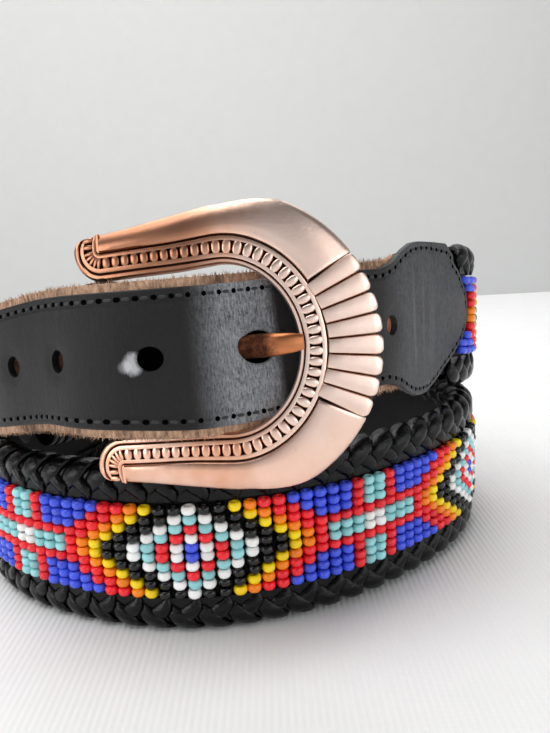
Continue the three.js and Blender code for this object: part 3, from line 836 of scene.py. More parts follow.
@dataclass(frozen=True)
class CopperPlate:
    """Rosy copper plate, polished on high faces, dark in grooves, browner where a dark reflection is
    painted and paler where a pale reflection is painted, as it is told.
    """

    name: str
    bright: tuple[float, float, float] = (0.90, 0.60, 0.48)
    warm: tuple[float, float, float] = (0.74, 0.37, 0.23)
    patina: tuple[float, float, float] = (0.035, 0.017, 0.011)
    painted_dark_reflection_colour: tuple[float, float, float] = (0.38, 0.165, 0.09)
    painted_pale_reflection_colour: tuple[float, float, float] = (0.9, 0.72, 0.63)

    def material(self) -> bpy.types.Material:
        """Builds the finish."""
        sheet = NodeSheet(self.name)
        # The worn values hold the wear, then the strengths of the painted dark reflection and of the
        # painted pale reflection.
        worn, painted_dark_reflection, painted_pale_reflection = sheet.parts(sheet.kept("worn").outputs["Vector"])
        place = sheet.place
        cloud = sheet.noise(place, (70.0, 70.0, 70.0), 4.0)
        speck = sheet.noise(place, (900.0, 900.0, 900.0), 3.0, 0.7)
        scratch = sheet.noise(place, (260.0, 2600.0, 260.0), 3.0, 0.7)
        face = sheet.mix(cloud.ramp(0.38, 0.72), self.bright, self.warm)
        # Painted reflections: browner where the dark one is painted, paler where the pale one is.
        face = sheet.mix(painted_dark_reflection * 0.9, face, self.painted_dark_reflection_colour)
        face = sheet.mix(painted_pale_reflection * 0.75, face, self.painted_pale_reflection_colour)
        high = (worn + speck * 0.35 - 0.17).ramp(0.12, 0.62)
        sheet.set(Base_Color=sheet.mix(high, self.patina, face))
        sheet.set(Metallic=1.0)
        sheet.set(Roughness=0.62 - high * 0.4 + speck * 0.1 + scratch * 0.06)
        sheet.bump(speck * 0.4 + scratch * 0.35, 0.05 * MM)
        return sheet.material


@dataclass(frozen=True)
class PlainFinish:
    """A plain surface with a faint cloud of tone, ribbed if it has a rib pitch in metres."""

    name: str
    colour: tuple[float, float, float]
    roughness: float
    rib_pitch: float = 0.0

    def material(self) -> bpy.types.Material:
        """Builds the finish."""
        sheet = NodeSheet(self.name)
        cloud = sheet.noise(sheet.place, (40.0, 40.0, 40.0), 3.0)
        darker = tuple(0.94 * part for part in self.colour)
        sheet.set(Base_Color=sheet.mix(cloud, self.colour, darker))
        sheet.set(Roughness=self.roughness)
        if self.rib_pitch:
            right, _, _ = sheet.parts(sheet.place)
            rib = abs((right / self.rib_pitch).fraction() - 0.5)
            sheet.bump(rib + cloud * 0.5, 0.2 * MM)
        return sheet.material


def dress(piece: bpy.types.Object, finish: object, slot: str, *nodes: str) -> bpy.types.Object:
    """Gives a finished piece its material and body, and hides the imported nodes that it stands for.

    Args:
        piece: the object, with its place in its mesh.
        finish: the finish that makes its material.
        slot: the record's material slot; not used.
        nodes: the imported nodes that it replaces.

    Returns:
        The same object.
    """
    piece.data.materials.clear()
    piece.data.materials.append(finish.material())
    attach(piece, "root")
    if nodes:
        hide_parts(*nodes)
    LOG.info("%s: %d faces", piece.name, len(piece.data.polygons))
    return piece


def edge_spaced(half_count: int, edge: Sequence[float], half: float) -> Array:
    """Shares from -1 to 1 across a piece, close together within a rounded edge.

    Args:
        half_count: even steps on each side of the middle.
        edge: distances in mm from the edge at which a column stands.
        half: half of the piece's width in mm.

    Returns:
        The rising row of shares.
    """
    near = 1 - np.array(sorted(edge, reverse=True)) / half
    inner = np.linspace(0, near[0], half_count + 1)[:-1]
    right = np.concatenate([inner, near])
    return np.concatenate([-right[:0:-1], right])


def rounded_drop(distance: Array, radius: float) -> Array:
    """How far a face falls within a rounded edge, at a distance from that edge."""
    inside = np.clip(1 - distance / radius, 0, 1)
    return radius * (1 - np.sqrt(1 - inside**2))


@dataclass
class LaidLeather:
    """A flat leather piece with rounded edges, laid on the coil at some height."""

    path: CoilPath
    thick: float
    base: Callable[[Array], Array]
    edge_radius: float = LEATHER_ROUNDING

    def grid(self, stations: Array, across: Array, edge: Array, seam: Array | None = None) -> Shape:
        """Solid over a grid in flat places.

        Args:
            stations: grid of stations along the belt.
            across: grid of heights across it.
            edge: grid of distances from the piece's edge.
            seam: grid of distances beside the sewn line, if the piece has one.

        Returns:
            The shape in flat places, with those distances as its seam values.
        """
        low = self.base(stations)
        drop = rounded_drop(edge, self.edge_radius)
        upper = np.stack([stations, across, low + self.thick - drop], -1)
        lower = np.stack([stations, across, low + drop * UNDER_SHARE], -1)
        return sheet_shape(upper, lower, {} if seam is None else {"seam": seam})

    def settle(self, piece: bpy.types.Object) -> None:
        """Keeps the flat places as values and lays the piece on the coil."""
        flat = Bench.points(piece)
        Bench.keep(piece, "flat", flat)
        Bench.move_points(piece, self.path.lay(flat) * MM)


@dataclass
class StrapCore:
    """The black core strap between the two tabs."""

    path: CoilPath
    step: float = 3.0
    edge_radius: float = 0.6
    lining_gap: float = 0.1

    def build(self) -> bpy.types.Object:
        """Lays the strap round the coil."""
        start = SIZES.lining_end_at + self.lining_gap
        end = self.path.length - SIZES.core_end_gap
        stations = np.linspace(start, end, int((end - start) / self.step))
        half = SIZES.core_width / 2
        narrow = SIZES.billet_face_width / 2
        spread = flare(self.path.length - SIZES.buckle_neck - stations)
        halves = narrow + (half - narrow) * spread
        shares = edge_spaced(4, (0, self.edge_radius / 3, self.edge_radius), half)
        grid_s = np.repeat(stations[:, None], len(shares), 1)
        grid_u = halves[:, None] * shares[None]
        edge = halves[:, None] * (1 - np.abs(shares))[None]
        drop = rounded_drop(edge, self.edge_radius)
        top = np.stack([grid_s, grid_u, -drop], -1)
        bottom = np.stack([grid_s, grid_u, drop - SIZES.core_thick], -1)
        far = {"seam": np.full(grid_s.shape, NO_SEAM)}
        piece = Bench.piece("strap_core", sheet_shape(top, bottom, far), 1.0)
        LaidLeather(self.path, SIZES.core_thick, lambda s: 0 * s).settle(piece)
        Bench.smooth(piece)
        return dress(piece, GrainLeather("strap_black_leather"), "core_leather", "core_strap")


class Glass(Enum):
    """Glass of the beads, each with its letter in the chart and its colour."""

    WHITE = ("W", (0.95, 0.95, 0.93))
    TURQUOISE = ("T", (0.32, 0.70, 0.73))
    RED = ("R", (0.90, 0.016, 0.028))
    ORANGE = ("O", (1.0, 0.24, 0.004))
    YELLOW = ("Y", (1.0, 0.68, 0.003))
    BLUE = ("B", (0.055, 0.10, 0.78))
    BLACK = ("K", (0.002, 0.002, 0.0025))


@dataclass
class BeadField:
    """Ten rows of beads sewn in short lanes across the strap, in diamonds and crosses."""

    path: CoilPath
    chart: tuple[str, ...] = (
        "WTRWBBWRTW", "KWTRWWRTWK", "KKWTRRTWKK", "YKKWTTWKKY", "OYKKWWKKYO", "ROYKKKKYOR",
        "RROYKKYORR", "BRROYYORRB", "BBRROORRBB", "BBBRRRRBBB", "BBBRTTRBBB", "BBBRTTRBBB",
        "RRRRTTRRRR", "TTTRWWRTTT",
    )
    repeat: int = 27
    rows: int = 10
    row_pitch: float = 2.1
    column_pitch: float = 3.08
    first_column_at: float = 469.0
    bead_radius: float = 1.5
    bead_length: float = 2.02
    bead_lift: float = 1.38
    tab_clearance_share: float = 0.8
    segments: int = 10
    place_spread: tuple[float, float, float] = (0.07, 0.05, 0.06)
    size_spread: float = 0.025
    tone_spread: float = 0.06
    tilt_spread: float = 0.05
    seed: int = 7

    def letter(self, column: int, row: int) -> str:
        """Letter of the bead at a column and a row from the top."""
        place = column % self.repeat
        return self.chart[min(place, self.repeat - place)][row]

    def pattern(self) -> Shape:
        """One bead along the across axis: points are along, across and out."""
        radius, half = self.bead_radius, self.bead_length / 2
        profile = np.array([
            (0.34, 0.72), (0.52, 0.93), (0.80, 0.86), (1.0, 0.34), (1.0, -0.34), (0.80, -0.86),
            (0.52, -0.93), (0.34, -0.72)]) * (radius, half)
        angle = np.arange(self.segments) * 2 * np.pi / self.segments
        rings = np.stack([
            np.outer(np.cos(angle), profile[:, 0]),
            np.repeat(profile[None, :, 1], self.segments, 0),
            np.outer(np.sin(angle), profile[:, 0])], -1)
        index = np.arange(self.segments * len(profile)).reshape(self.segments, len(profile))
        ahead, aside = np.roll(index, -1, 0), np.roll(index, -1, 1)
        quads = np.stack([index, ahead, np.roll(ahead, -1, 1), aside], -1).reshape(-1, 4)
        return Shape(rings.reshape(-1, 3), [tuple(q) for q in quads.tolist()]).outward()

    def build(self) -> list[bpy.types.Object]:
        """Sews every bead that lies between the two tabs."""
        random = np.random.default_rng(self.seed)
        tints = dict(glass.value for glass in Glass)
        first = math.ceil((SIZES.tab_neck_at - self.first_column_at) / self.column_pitch)
        last = int((self.path.length - SIZES.buckle_neck - self.first_column_at) / self.column_pitch)
        clearance = self.bead_radius * self.tab_clearance_share
        places, colours = [], []
        for column in range(first, last + 1):
            station = self.first_column_at + column * self.column_pitch
            for row in range(self.rows):
                across = (self.rows / 2 - 0.5 - row) * self.row_pitch
                near = station - SIZES.tab_neck_at - tab_reach(across)
                far = self.path.length - SIZES.buckle_neck - tab_reach(across) - station
                if min(near, far) >= clearance:
                    places.append((station, across))
                    colours.append(tints[self.letter(column, row)])
        spots = np.array(places)
        count = len(spots)
        flat = np.column_stack([spots, np.full(count, SIZES.layer_gap + self.bead_lift)])
        flat += np.stack([random.normal(0, spread, count) for spread in self.place_spread], -1)
        size = 1 + random.normal(0, self.size_spread, (count, 1, 3))
        tone = np.clip(1 + random.normal(0, self.tone_spread, (count, 1)), 0.8, 1.15)
        tint = np.column_stack([np.clip(np.array(colours) * tone, 0, 1), np.ones(count)])
        tilt = random.normal(0, self.tilt_spread, count)
        frames = self.path.frames(flat[:, 0])
        centre = frames.origin + frames.across * flat[:, 1:2] + frames.out * flat[:, 2:3]
        along = frames.along * np.cos(tilt)[:, None] + frames.across * np.sin(tilt)[:, None]
        across = frames.across * np.cos(tilt)[:, None] - frames.along * np.sin(tilt)[:, None]
        bead = self.pattern()
        local = bead.points[None] * size
        points = (centre[:, None] + local[..., 0:1] * along[:, None] + local[..., 1:2] * across[:, None]
                  + local[..., 2:3] * frames.out[:, None])
        glass = BeadGlass("seed_bead_glass")
        half = count // 2
        pieces = []
        for name, part in (("beads_upper_turn", slice(0, half)), ("beads_lower_turn", slice(half, count))):
            shape = repeated(bead, points[part], {"tint": tint[part]})
            piece = Bench.piece(name, shape)
            Bench.smooth(piece, 60)
            pieces.append(dress(piece, glass, "bead_glass", "bead_band"))
        return pieces


@dataclass
class LacedEdge:
    """Leather lace braided over one rim of the strap: long slanted turns and short ones under them."""

    path: CoilPath
    side: int
    pitch: float = 6.4
    strand_thick: float = 1.15
    front: float = 1.2
    back: float = -4.0
    turn_centre: float = 15.35
    root: float = 11.0
    slant: float = 7.6
    half_width_share: float = 0.45
    long_insets: tuple[float, float] = (1.5, 1.3)
    short_reach: float = 6.4
    short_slant_share: float = 0.62
    short_shift_share: float = 0.1
    root_overlap: float = 0.1
    core_step: float = 3.0
    core_overrun: float = 1.0
    tab_clearance: float = 1.4

    @property
    def radius(self) -> float:
        """Radius of the lace's underside round the rim."""
        return (self.front - self.back) / 2

    @property
    def girth(self) -> float:
        """Length of the lace's way from the beads round the rim to the back."""
        return 2 * (self.turn_centre - self.root) + math.pi * self.radius

    def place(self, around: Array, height: Array) -> tuple[Array, Array]:
        """A place on the edge's section.

        Args:
            around: distance from the root at the beads round the rim to the back.
            height: height over the lace's underside.

        Returns:
            Heights across the belt and out of it.
        """
        straight = self.turn_centre - self.root
        middle = (self.front + self.back) / 2
        angle = np.clip((around - straight) / self.radius, 0, np.pi)
        reach = self.radius + height
        before = np.minimum(around - straight, 0)
        after = np.maximum(around - straight - math.pi * self.radius, 0)
        across = self.turn_centre + reach * np.sin(angle) + before - after
        out = middle + reach * np.cos(angle)
        return self.side * across, out

    def strand(self, starts: Array, around: tuple[float, float], slant: float, widths: Sequence[float],
               lifts: Sequence[float], steps: int) -> Shape:
        """Repeats one flat lace turn.

        Args:
            starts: station of each turn's middle.
            around: where it starts and ends round the section.
            slant: how far along the belt it runs on its way.
            widths: half widths along the belt at even shares of its way.
            lifts: heights of its underside at even shares of its way.
            steps: number of rings.

        Returns:
            All turns as one shape.
        """
        t = np.linspace(0, 1, steps)
        ease = 0.45 * t + 0.55 * smooth_step(t)
        half = np.interp(t, np.linspace(0, 1, len(widths)), widths)
        lift = np.interp(t, np.linspace(0, 1, len(lifts)), lifts)
        ring_w = np.array([-1, -0.9, -0.5, 0, 0.5, 0.9, 1, 0.85, 0, -0.85])
        thick = np.array([0.05, 0.5, 0.85, 1.0, 0.9, 0.6, 0.15, -0.2, -0.2, -0.2]) * self.strand_thick
        tilt = 0.3 * ring_w
        s = starts[:, None, None] + (slant * (ease - 0.5))[None, :, None] + half[None, :, None] * ring_w
        q = np.broadcast_to((around[0] + (around[1] - around[0]) * t)[None, :, None], s.shape)
        h = np.broadcast_to(lift[None, :, None] + (thick + tilt)[None, None], s.shape)
        u, v = self.place(q, h)
        flat = np.stack([s, u, v], -1)
        pattern = tube_shape(flat[0])
        laid = self.path.lay(flat.reshape(-1, 3)).reshape(len(starts), -1, 3)
        shape = repeated(pattern, laid, {})
        shape.values["flat"] = np.stack([s, q, h], -1).reshape(-1, 3)
        return shape.outward()

    def core(self, start: float, end: float) -> Shape:
        """Padding under the lace, which closes the gaps between its turns.

        Args:
            start: station where the lace starts.
            end: station where it ends.

        Returns:
            The padding, laid on the coil.
        """
        girth = self.girth
        first, last = start - self.core_overrun, end + self.core_overrun
        stations = np.linspace(first, last, int((end - start) / self.core_step))
        section = [(-0.1, 0.0), (-0.1, 0.1)] + [(q, 0.12) for q in np.linspace(1, girth - 1, 12)]
        section += [(girth + 0.1, 0.1), (girth + 0.1, -0.9), (girth - 3.6, -0.9)]
        section += [(q, -0.8) for q in np.linspace(girth - 4.6, 4.6, 6)] + [(3.6, -0.9), (-0.1, -0.9)]
        around, height = np.array(section).T
        u, v = self.place(around, height)
        rings = np.stack(np.broadcast_arrays(stations[:, None], u, v), -1)
        padding = tube_shape(rings, {"flat": rings})
        padding.points = self.path.lay(padding.points)
        return padding.outward()

    def build(self) -> bpy.types.Object:
        """Braids the whole edge over its padding."""
        cover = float(tab_reach(self.side * self.root)) + self.tab_clearance
        start, end = SIZES.tab_neck_at + cover, self.path.length - SIZES.buckle_neck - cover
        count = round((end - start) / self.pitch)
        starts = start + (np.arange(count) + 0.5) * (end - start) / count
        wide = self.pitch * self.half_width_share
        girth = self.girth
        way = (self.long_insets[0], girth - self.long_insets[1])
        widths = (0.5, wide * 0.95, wide, wide, wide, wide * 0.95, 0.5)
        turns = [self.strand(starts, way, self.slant, widths, (-0.75, -0.05, 0, 0, 0, -0.05, -0.75), 18)]
        widths = (0.25 * wide, 0.8 * wide, 0.85 * wide, 0.5 * wide)
        for root, inward in ((0.0, 1), (girth, -1)):
            middles = starts - inward * self.short_shift_share * self.pitch
            way = (root - inward * self.root_overlap, root + inward * self.short_reach)
            slant = -inward * self.short_slant_share * self.pitch
            turns.append(self.strand(middles, way, slant, widths, (-0.65, 0.0, -0.25, -1.0), 9))
        end_name = "top" if self.side > 0 else "bottom"
        piece = Bench.piece(f"lace_{end_name}", Shape.joined([self.core(start, end), *turns]))
        Bench.smooth(piece, 50)
        finish = GlossLeather(f"lace_{end_name}_leather")
        return dress(piece, finish, "lace_leather", f"laced_edge_{end_name}")


def tab_grid(neck: float, way: int, straight: Array, half: Callable[[Array], Array], shares: Array,
             tab_rows: int = 22) -> tuple[Array, Array, Array]:
    """Flat grid of a strap that ends in a scalloped tab.

    Args:
        neck: station of the tab's neck.
        way: 1 if the tab points to rising stations.
        straight: stations before the tab's full width, in order towards the tab.
        half: half width at a station.
        shares: places across, from -1 to 1.
        tab_rows: rows from the full width to the tab's end.

    Returns:
        Grids of stations, heights across and distances from the edge.
    """
    body = neck + way * TAB_FLARE_ROWS[-1].reach * SIZES.tab_length
    ends = neck + way * tab_reach(shares * SIZES.tab_width / 2)
    fraction = 1 - np.concatenate([np.linspace(1, 0.06, tab_rows), [0.03, 0.012, 0.0]])
    tab = body + fraction[1:, None] * (ends - body)[None]
    stations = np.concatenate([np.repeat(straight[:, None], len(shares), 1), tab])
    halves = np.concatenate([half(straight), np.full(len(tab), SIZES.tab_width / 2)])
    across = halves[:, None] * shares[None]
    to_end = np.abs(ends[None] - stations) * 0.8
    edge = np.minimum(halves[:, None] * (1 - np.abs(shares))[None], to_end)
    return stations, across, edge


@dataclass(frozen=True)
class DeepHole:
    """Black of a hole that no light leaves."""

    name: str

    def material(self) -> bpy.types.Material:
        """Builds the finish."""
        sheet = NodeSheet(self.name)
        sheet.set(Base_Color=(0.0006, 0.0006, 0.0007), Roughness=0.9, Specular_IOR_Level=0.02)
        return sheet.material


@dataclass
class Seam:
    """A row of stitches with the awl holes between them, each hole a black bar of painted shade."""

    path: CoilPath
    pitch: float = 2.75
    thread: tuple[float, float, float] = (1.35, 0.6, 0.34)
    hole: tuple[float, float, float] = (1.15, 0.95, 0.1)

    def capsule(self, size: tuple[float, float, float]) -> Array:
        """A small rounded bar.

        Args:
            size: its length, width and height.

        Returns:
            Its rings of points.
        """
        length, width, rise = size
        t = np.linspace(-1, 1, 7)
        swell = np.sqrt(np.clip(1 - t**4, 0.05, 1))
        angle = np.arange(8) * np.pi / 4
        s = np.repeat((t * length / 2)[:, None], len(angle), 1)
        u = np.cos(angle)[None] * swell[:, None] * width / 2
        v = np.sin(angle)[None] * swell[:, None] * rise / 2
        return np.stack([s, u, v], -1)

    def row(self, size: tuple[float, float, float], marks: Array, lift: float) -> Shape:
        """Lays one bar at each mark, turned along the seam.

        Args:
            size: length, width and height of a bar.
            marks: station, height across and height out of each.
            lift: how far the bars stand over the marks.

        Returns:
            All bars as one shape.
        """
        ring = self.capsule(size)
        local = ring.reshape(1, -1, 3)
        way = np.gradient(marks[:, :2], axis=0)
        way /= np.linalg.norm(way, axis=1)[:, None]
        cos, sin = way[:, 0:1], way[:, 1:2]
        s = local[..., 0] * cos - local[..., 1] * sin
        u = local[..., 0] * sin + local[..., 1] * cos
        v = np.broadcast_to(local[..., 2] + lift, s.shape)
        flat = marks[:, None] + np.stack([s, u, v], -1)
        laid = self.path.lay(flat.reshape(-1, 3)).reshape(len(marks), -1, 3)
        return repeated(tube_shape(ring), laid, {}).outward()

    def sew(self, name: str, lines: Sequence[Array]) -> None:
        """Sews stitches and awl holes.

        Args:
            name: start of the two pieces' names.
            lines: rows of flat points, each a station, a height across and a height out.
        """
        threads, holes = [], []
        for line in lines:
            steps = np.concatenate([[0], np.cumsum(np.linalg.norm(np.diff(line[:, :2], axis=0), axis=1))])
            for store, size, start, lift in (
                    (threads, self.thread, 0.5, 0.02), (holes, self.hole, 1.0, -0.01)):
                marks = np.arange(start * self.pitch, steps[-1], self.pitch)
                places = np.stack([np.interp(marks, steps, line[:, k]) for k in range(3)], -1)
                store.append(self.row(size, places, lift))
        for part, shapes, finish in (
                ("thread", threads, PlainFinish("waxed_thread", (0.014, 0.0145, 0.017), 0.5)),
                ("awl_holes", holes, DeepHole("awl_hole"))):
            piece = Bench.piece(f"{name}_{part}", Shape.joined(shapes))
            Bench.smooth(piece, 60)
            dress(piece, finish, "billet_leather")


WORN_HOLE_AT = SIZES.prong_hole_at - SIZES.hole_pitch
CREASED_AT = SIZES.tab_neck_at + 13
# Pale patches: by the worn hole, rubbed wear with a painted highlight on the flank of its dish; on the tab,
# pale streaks over its creases.
BILLET_PALE_PATCHES = (
    PalePatch(WORN_HOLE_AT - 2.4, -0.7, 1.7, 2.5, 0.85), PalePatch(WORN_HOLE_AT - 3.6, -1.2, 1.2, 1.4, 0.3),
    PalePatch(CREASED_AT + 1, 0.0, 1.0, 15.0, 0.09), PalePatch(CREASED_AT + 6.5, 1.0, 0.8, 14.0, 0.07),
    PalePatch(CREASED_AT + 12, -2.0, 2.2, 12.0, 0.05),
)
# Stretches of painted sheen, reflections painted into the colour: on the billet before the prong's hole,
# and along the tab.
BILLET_PAINTED_SHEENS = (PaintedSheen(16, 25, 31.5, 34, 1.3), PaintedSheen(58, 72, 105, 120, 0.4))


@dataclass
class Billet:
    """The billet: black face with its point, holes and tab, and its raw brown lining."""

    path: CoilPath
    step: float = 1.3
    holes_up: int = 2
    holes_down: int = 4
    prong_hole_radius: float = 3.1
    prong_hole_stretch: float = 1.18
    prong_hole_shift: float = 0.7
    hole_dish: float = 0.4
    lining_hole_margin: float = 0.5
    plug_margin: float = 2.4
    plug_thick: float = 0.4
    raw_plug_lift: float = 1.2
    seam_end_gap: float = 9.0
    seam_tab_inset: float = 1.9
    fibre_count: int = 3400
    seed: int = 11

    def half(self, full: float, tip: float, wide: float) -> Callable[[Array], Array]:
        """Half width of one layer of the billet.

        Args:
            full: its half width between point and tab.
            tip: station of its point.
            wide: its half width at the tab.

        Returns:
            A function that gives the half width at stations.
        """
        inward = [row.inward * SIZES.billet_width for row in TIP_ROWS]
        width = [row.width for row in TIP_ROWS]

        def at(stations: Array) -> Array:
            """Half width at stations."""
            pointed = full * np.interp(stations - tip, inward, width)
            flared = full + (wide - full) * flare(stations - SIZES.tab_neck_at)
            return np.where(stations < SIZES.tab_neck_at, pointed, flared)

        return at

    def lining_outline(self) -> tuple[float, Callable[[Array], Array]]:
        """Station of the lining's tip and its half width at a station."""
        margin = (SIZES.billet_width - SIZES.billet_face_width) / 2
        tip = SIZES.billet_tip_at - margin
        return tip, self.half(SIZES.billet_width / 2, tip, SIZES.core_width / 2)

    def hole_stations(self) -> list[float]:
        """Stations of the punched holes without the prong's."""
        return [SIZES.prong_hole_at + i * SIZES.hole_pitch
                for i in range(-self.holes_down, self.holes_up + 1) if i]

    def punch(self, piece: bpy.types.Object, low: float, high: float, grow: float = 0.0) -> None:
        """Cuts the holes of a layer that is still flat, the prong's as a long oval.

        Args:
            piece: the layer.
            low: station where the layer starts.
            high: station where it ends.
            grow: how much wider the holes' radius is than the face's.
        """
        tools = []
        for station in [s for s in self.hole_stations() if low < s < high]:
            bpy.ops.mesh.primitive_cylinder_add(
                vertices=28, radius=SIZES.hole_diameter / 2 + grow, depth=20, location=(station, 0, 1))
            tools.append(bpy.context.object)
        middle = SIZES.prong_hole_at + self.prong_hole_shift
        bpy.ops.mesh.primitive_cylinder_add(
            vertices=32, radius=self.prong_hole_radius + grow, depth=20, location=(middle, 0, 1))
        oval = bpy.context.object
        oval.scale = (self.prong_hole_stretch, 1, 1)
        Bench.pick(oval)
        bpy.ops.object.transform_apply(location=False, rotation=False, scale=True)
        tools.append(oval)
        Bench.cut(piece, Bench.join("hole_tool", tools))

    def face(self) -> bpy.types.Object:
        """Builds the black face."""
        leather = LaidLeather(
            self.path, SIZES.billet_face_thick, lambda s: billet_rise(s) + SIZES.layer_gap)
        full = SIZES.billet_face_width / 2
        tip = SIZES.billet_tip_at
        half = self.half(full, tip, SIZES.tab_width / 2)
        body = SIZES.tab_neck_at + TAB_FLARE_ROWS[-1].reach * SIZES.tab_length
        straight = np.linspace(tip + 1.6, body, int((body - tip) / self.step))
        straight = np.concatenate([tip + np.array([0, 0.15, 0.4, 0.9]), straight])
        shares = edge_spaced(9, (0, 0.06, 0.2, LEATHER_ROUNDING), full)
        stations, across, edge = tab_grid(SIZES.tab_neck_at, 1, straight, half, shares)
        edge = np.minimum(edge, np.abs(stations - tip))
        halves = half(np.minimum(stations, body))
        beyond = (stations < tip + self.seam_end_gap) | (stations > body + 8)
        seam = np.where(beyond, NO_SEAM, np.abs(across) - (halves - SIZES.seam_inset))
        shape = leather.grid(stations, hang(stations, across), edge, seam)
        piece = Bench.piece("billet_grain_face", shape, 1.0)
        self.punch(piece, tip, body)
        flat = Bench.points(piece)
        for station in self.hole_stations():
            reach = np.hypot(flat[:, 0] - station, flat[:, 1])
            flat[:, 2] -= self.hole_dish * (1 - eased(reach, SIZES.hole_diameter / 2, 4.8))
        Bench.move_points(piece, flat)
        leather.settle(piece)
        Bench.smooth(piece, 35)
        finish = GrainLeather("billet_black_leather", pale_patches=BILLET_PALE_PATCHES, painted_sheens=BILLET_PAINTED_SHEENS)
        return dress(piece, finish, "billet_leather", "billet_face")

    def plug(self, station: float, lift: float) -> bpy.types.Object:
        """A disc under a hole.

        Args:
            station: place of the hole.
            lift: height over the lining's underside.

        Returns:
            The disc, laid on the coil.
        """
        radius = SIZES.hole_diameter / 2 + self.plug_margin
        bpy.ops.mesh.primitive_cylinder_add(
            vertices=24, radius=radius, depth=self.plug_thick, location=(0, 0, 0))
        disc = bpy.context.object
        low = float(billet_rise(np.array([station]))[0]) - SIZES.lining_thick - SIZES.layer_gap / 2
        flat = Bench.points(disc) + (station, 0, low + lift)
        Bench.keep(disc, "flat", flat)
        Bench.move_points(disc, self.path.lay(flat) * MM)
        return disc

    def plugs(self) -> None:
        """Closes the depths of the holes: black discs of painted shade, and raw brown leather in the one at
        the tab.
        """
        *others, at_tab = [SIZES.prong_hole_at, *self.hole_stations()]
        black = Bench.join("hole_depths", [self.plug(station, 0.0) for station in others])
        dress(black, DeepHole("hole_depth"), "lining_leather")
        raw = self.plug(at_tab, self.raw_plug_lift)
        raw.name = "hole_raw_leather"
        dress(raw, RawLeather("hole_raw_leather", (0.2, 0.06, 0.03), (0.5, 0.2, 0.1)), "lining_leather")

    def lining(self) -> bpy.types.Object:
        """Builds the brown lining with its fibrous edges."""
        tip, half = self.lining_outline()
        leather = LaidLeather(self.path, SIZES.lining_thick, lambda s: billet_rise(s) - SIZES.lining_thick)
        rows = np.linspace(tip, SIZES.lining_end_at, int((SIZES.lining_end_at - tip) / self.step))
        shares = edge_spaced(5, (0, 0.15, LEATHER_ROUNDING), SIZES.billet_width / 2)
        stations = np.repeat(rows[:, None], len(shares), 1)
        halves = half(rows)[:, None]
        edge = np.minimum(halves * (1 - np.abs(shares))[None], np.abs(stations - tip))
        shape = leather.grid(stations, hang(stations, halves * shares[None]), edge)
        piece = Bench.piece("billet_raw_lining", shape, 1.0)
        self.punch(piece, tip, SIZES.lining_end_at, self.lining_hole_margin)
        leather.settle(piece)
        Bench.smooth(piece, 35)
        return dress(piece, RawLeather("billet_raw_leather"), "lining_leather", "billet_lining")

    def fibres(self) -> bpy.types.Object:
        """Raw fibres that stand out of both edges of the lining."""
        random = np.random.default_rng(self.seed)
        tip, half = self.lining_outline()
        count = self.fibre_count
        station = random.uniform(tip + 2, SIZES.lining_end_at, count)
        side = random.choice([-1.0, 1.0], count)
        root = side * hang(station, side * half(station)) - random.uniform(0.2, 0.9, count)
        depth = random.uniform(-1.45, 0.1, count)
        length = random.uniform(0.3, 1.15, count)
        drift = random.normal(0, 0.35, count)
        lean = random.normal(0.15, 0.35, count)
        wide = random.uniform(0.05, 0.1, count)
        share = np.array([0, 0.5, 1.0])
        taper = np.array([1.0, 0.8, 0.15])
        corner = np.array([(-1, -0.6), (1, -0.6), (0, 1.1)])
        grown = share * length[:, None]
        ring = corner * taper[:, None, None] * wide[:, None, None, None]
        middle_s = station[:, None] + grown * drift[:, None]
        middle_u = side[:, None] * (root[:, None] + grown)
        middle_v = (billet_rise(station) + depth)[:, None] + grown * lean[:, None] * share
        s = middle_s[..., None] + ring[..., 0]
        v = middle_v[..., None] + ring[..., 1]
        flat = np.stack([s, np.broadcast_to(middle_u[..., None], s.shape), v], -1)
        pattern = tube_shape(flat[0])
        laid = self.path.lay(flat.reshape(-1, 3)).reshape(count, -1, 3)
        shape = repeated(pattern, laid, {})
        shape.values["flat"] = flat.reshape(-1, 3)
        piece = Bench.piece("billet_fibres", shape)
        finish = RawLeather("billet_fibre_leather", (0.2, 0.1, 0.055), (0.85, 0.57, 0.39))
        return dress(piece, finish, "lining_leather")

    def seams(self) -> None:
        """Sews both edges of the face, over the tab's shoulders to its end."""
        half = self.half(SIZES.billet_face_width / 2, SIZES.billet_tip_at, SIZES.tab_width / 2)
        body = SIZES.tab_neck_at + TAB_FLARE_ROWS[-1].reach * SIZES.tab_length
        turn = body + 6
        lines = []
        for side in (1, -1):
            stations = np.arange(SIZES.billet_tip_at + self.seam_end_gap, turn, 0.5)
            across = side * (half(np.minimum(stations, body)) - SIZES.seam_inset)
            end_across = side * np.linspace(0.9, 0.12, 26) * SIZES.tab_width / 2
            end = SIZES.tab_neck_at + tab_reach(end_across) - self.seam_tab_inset
            keep = end > turn
            stations = np.concatenate([stations, end[keep]])
            across = np.concatenate([across, end_across[keep] * 0.97])
            out = billet_rise(stations) + SIZES.layer_gap + SIZES.billet_face_thick
            lines.append(np.stack([stations, hang(stations, across), out], -1))
        Seam(self.path).sew("billet", lines)


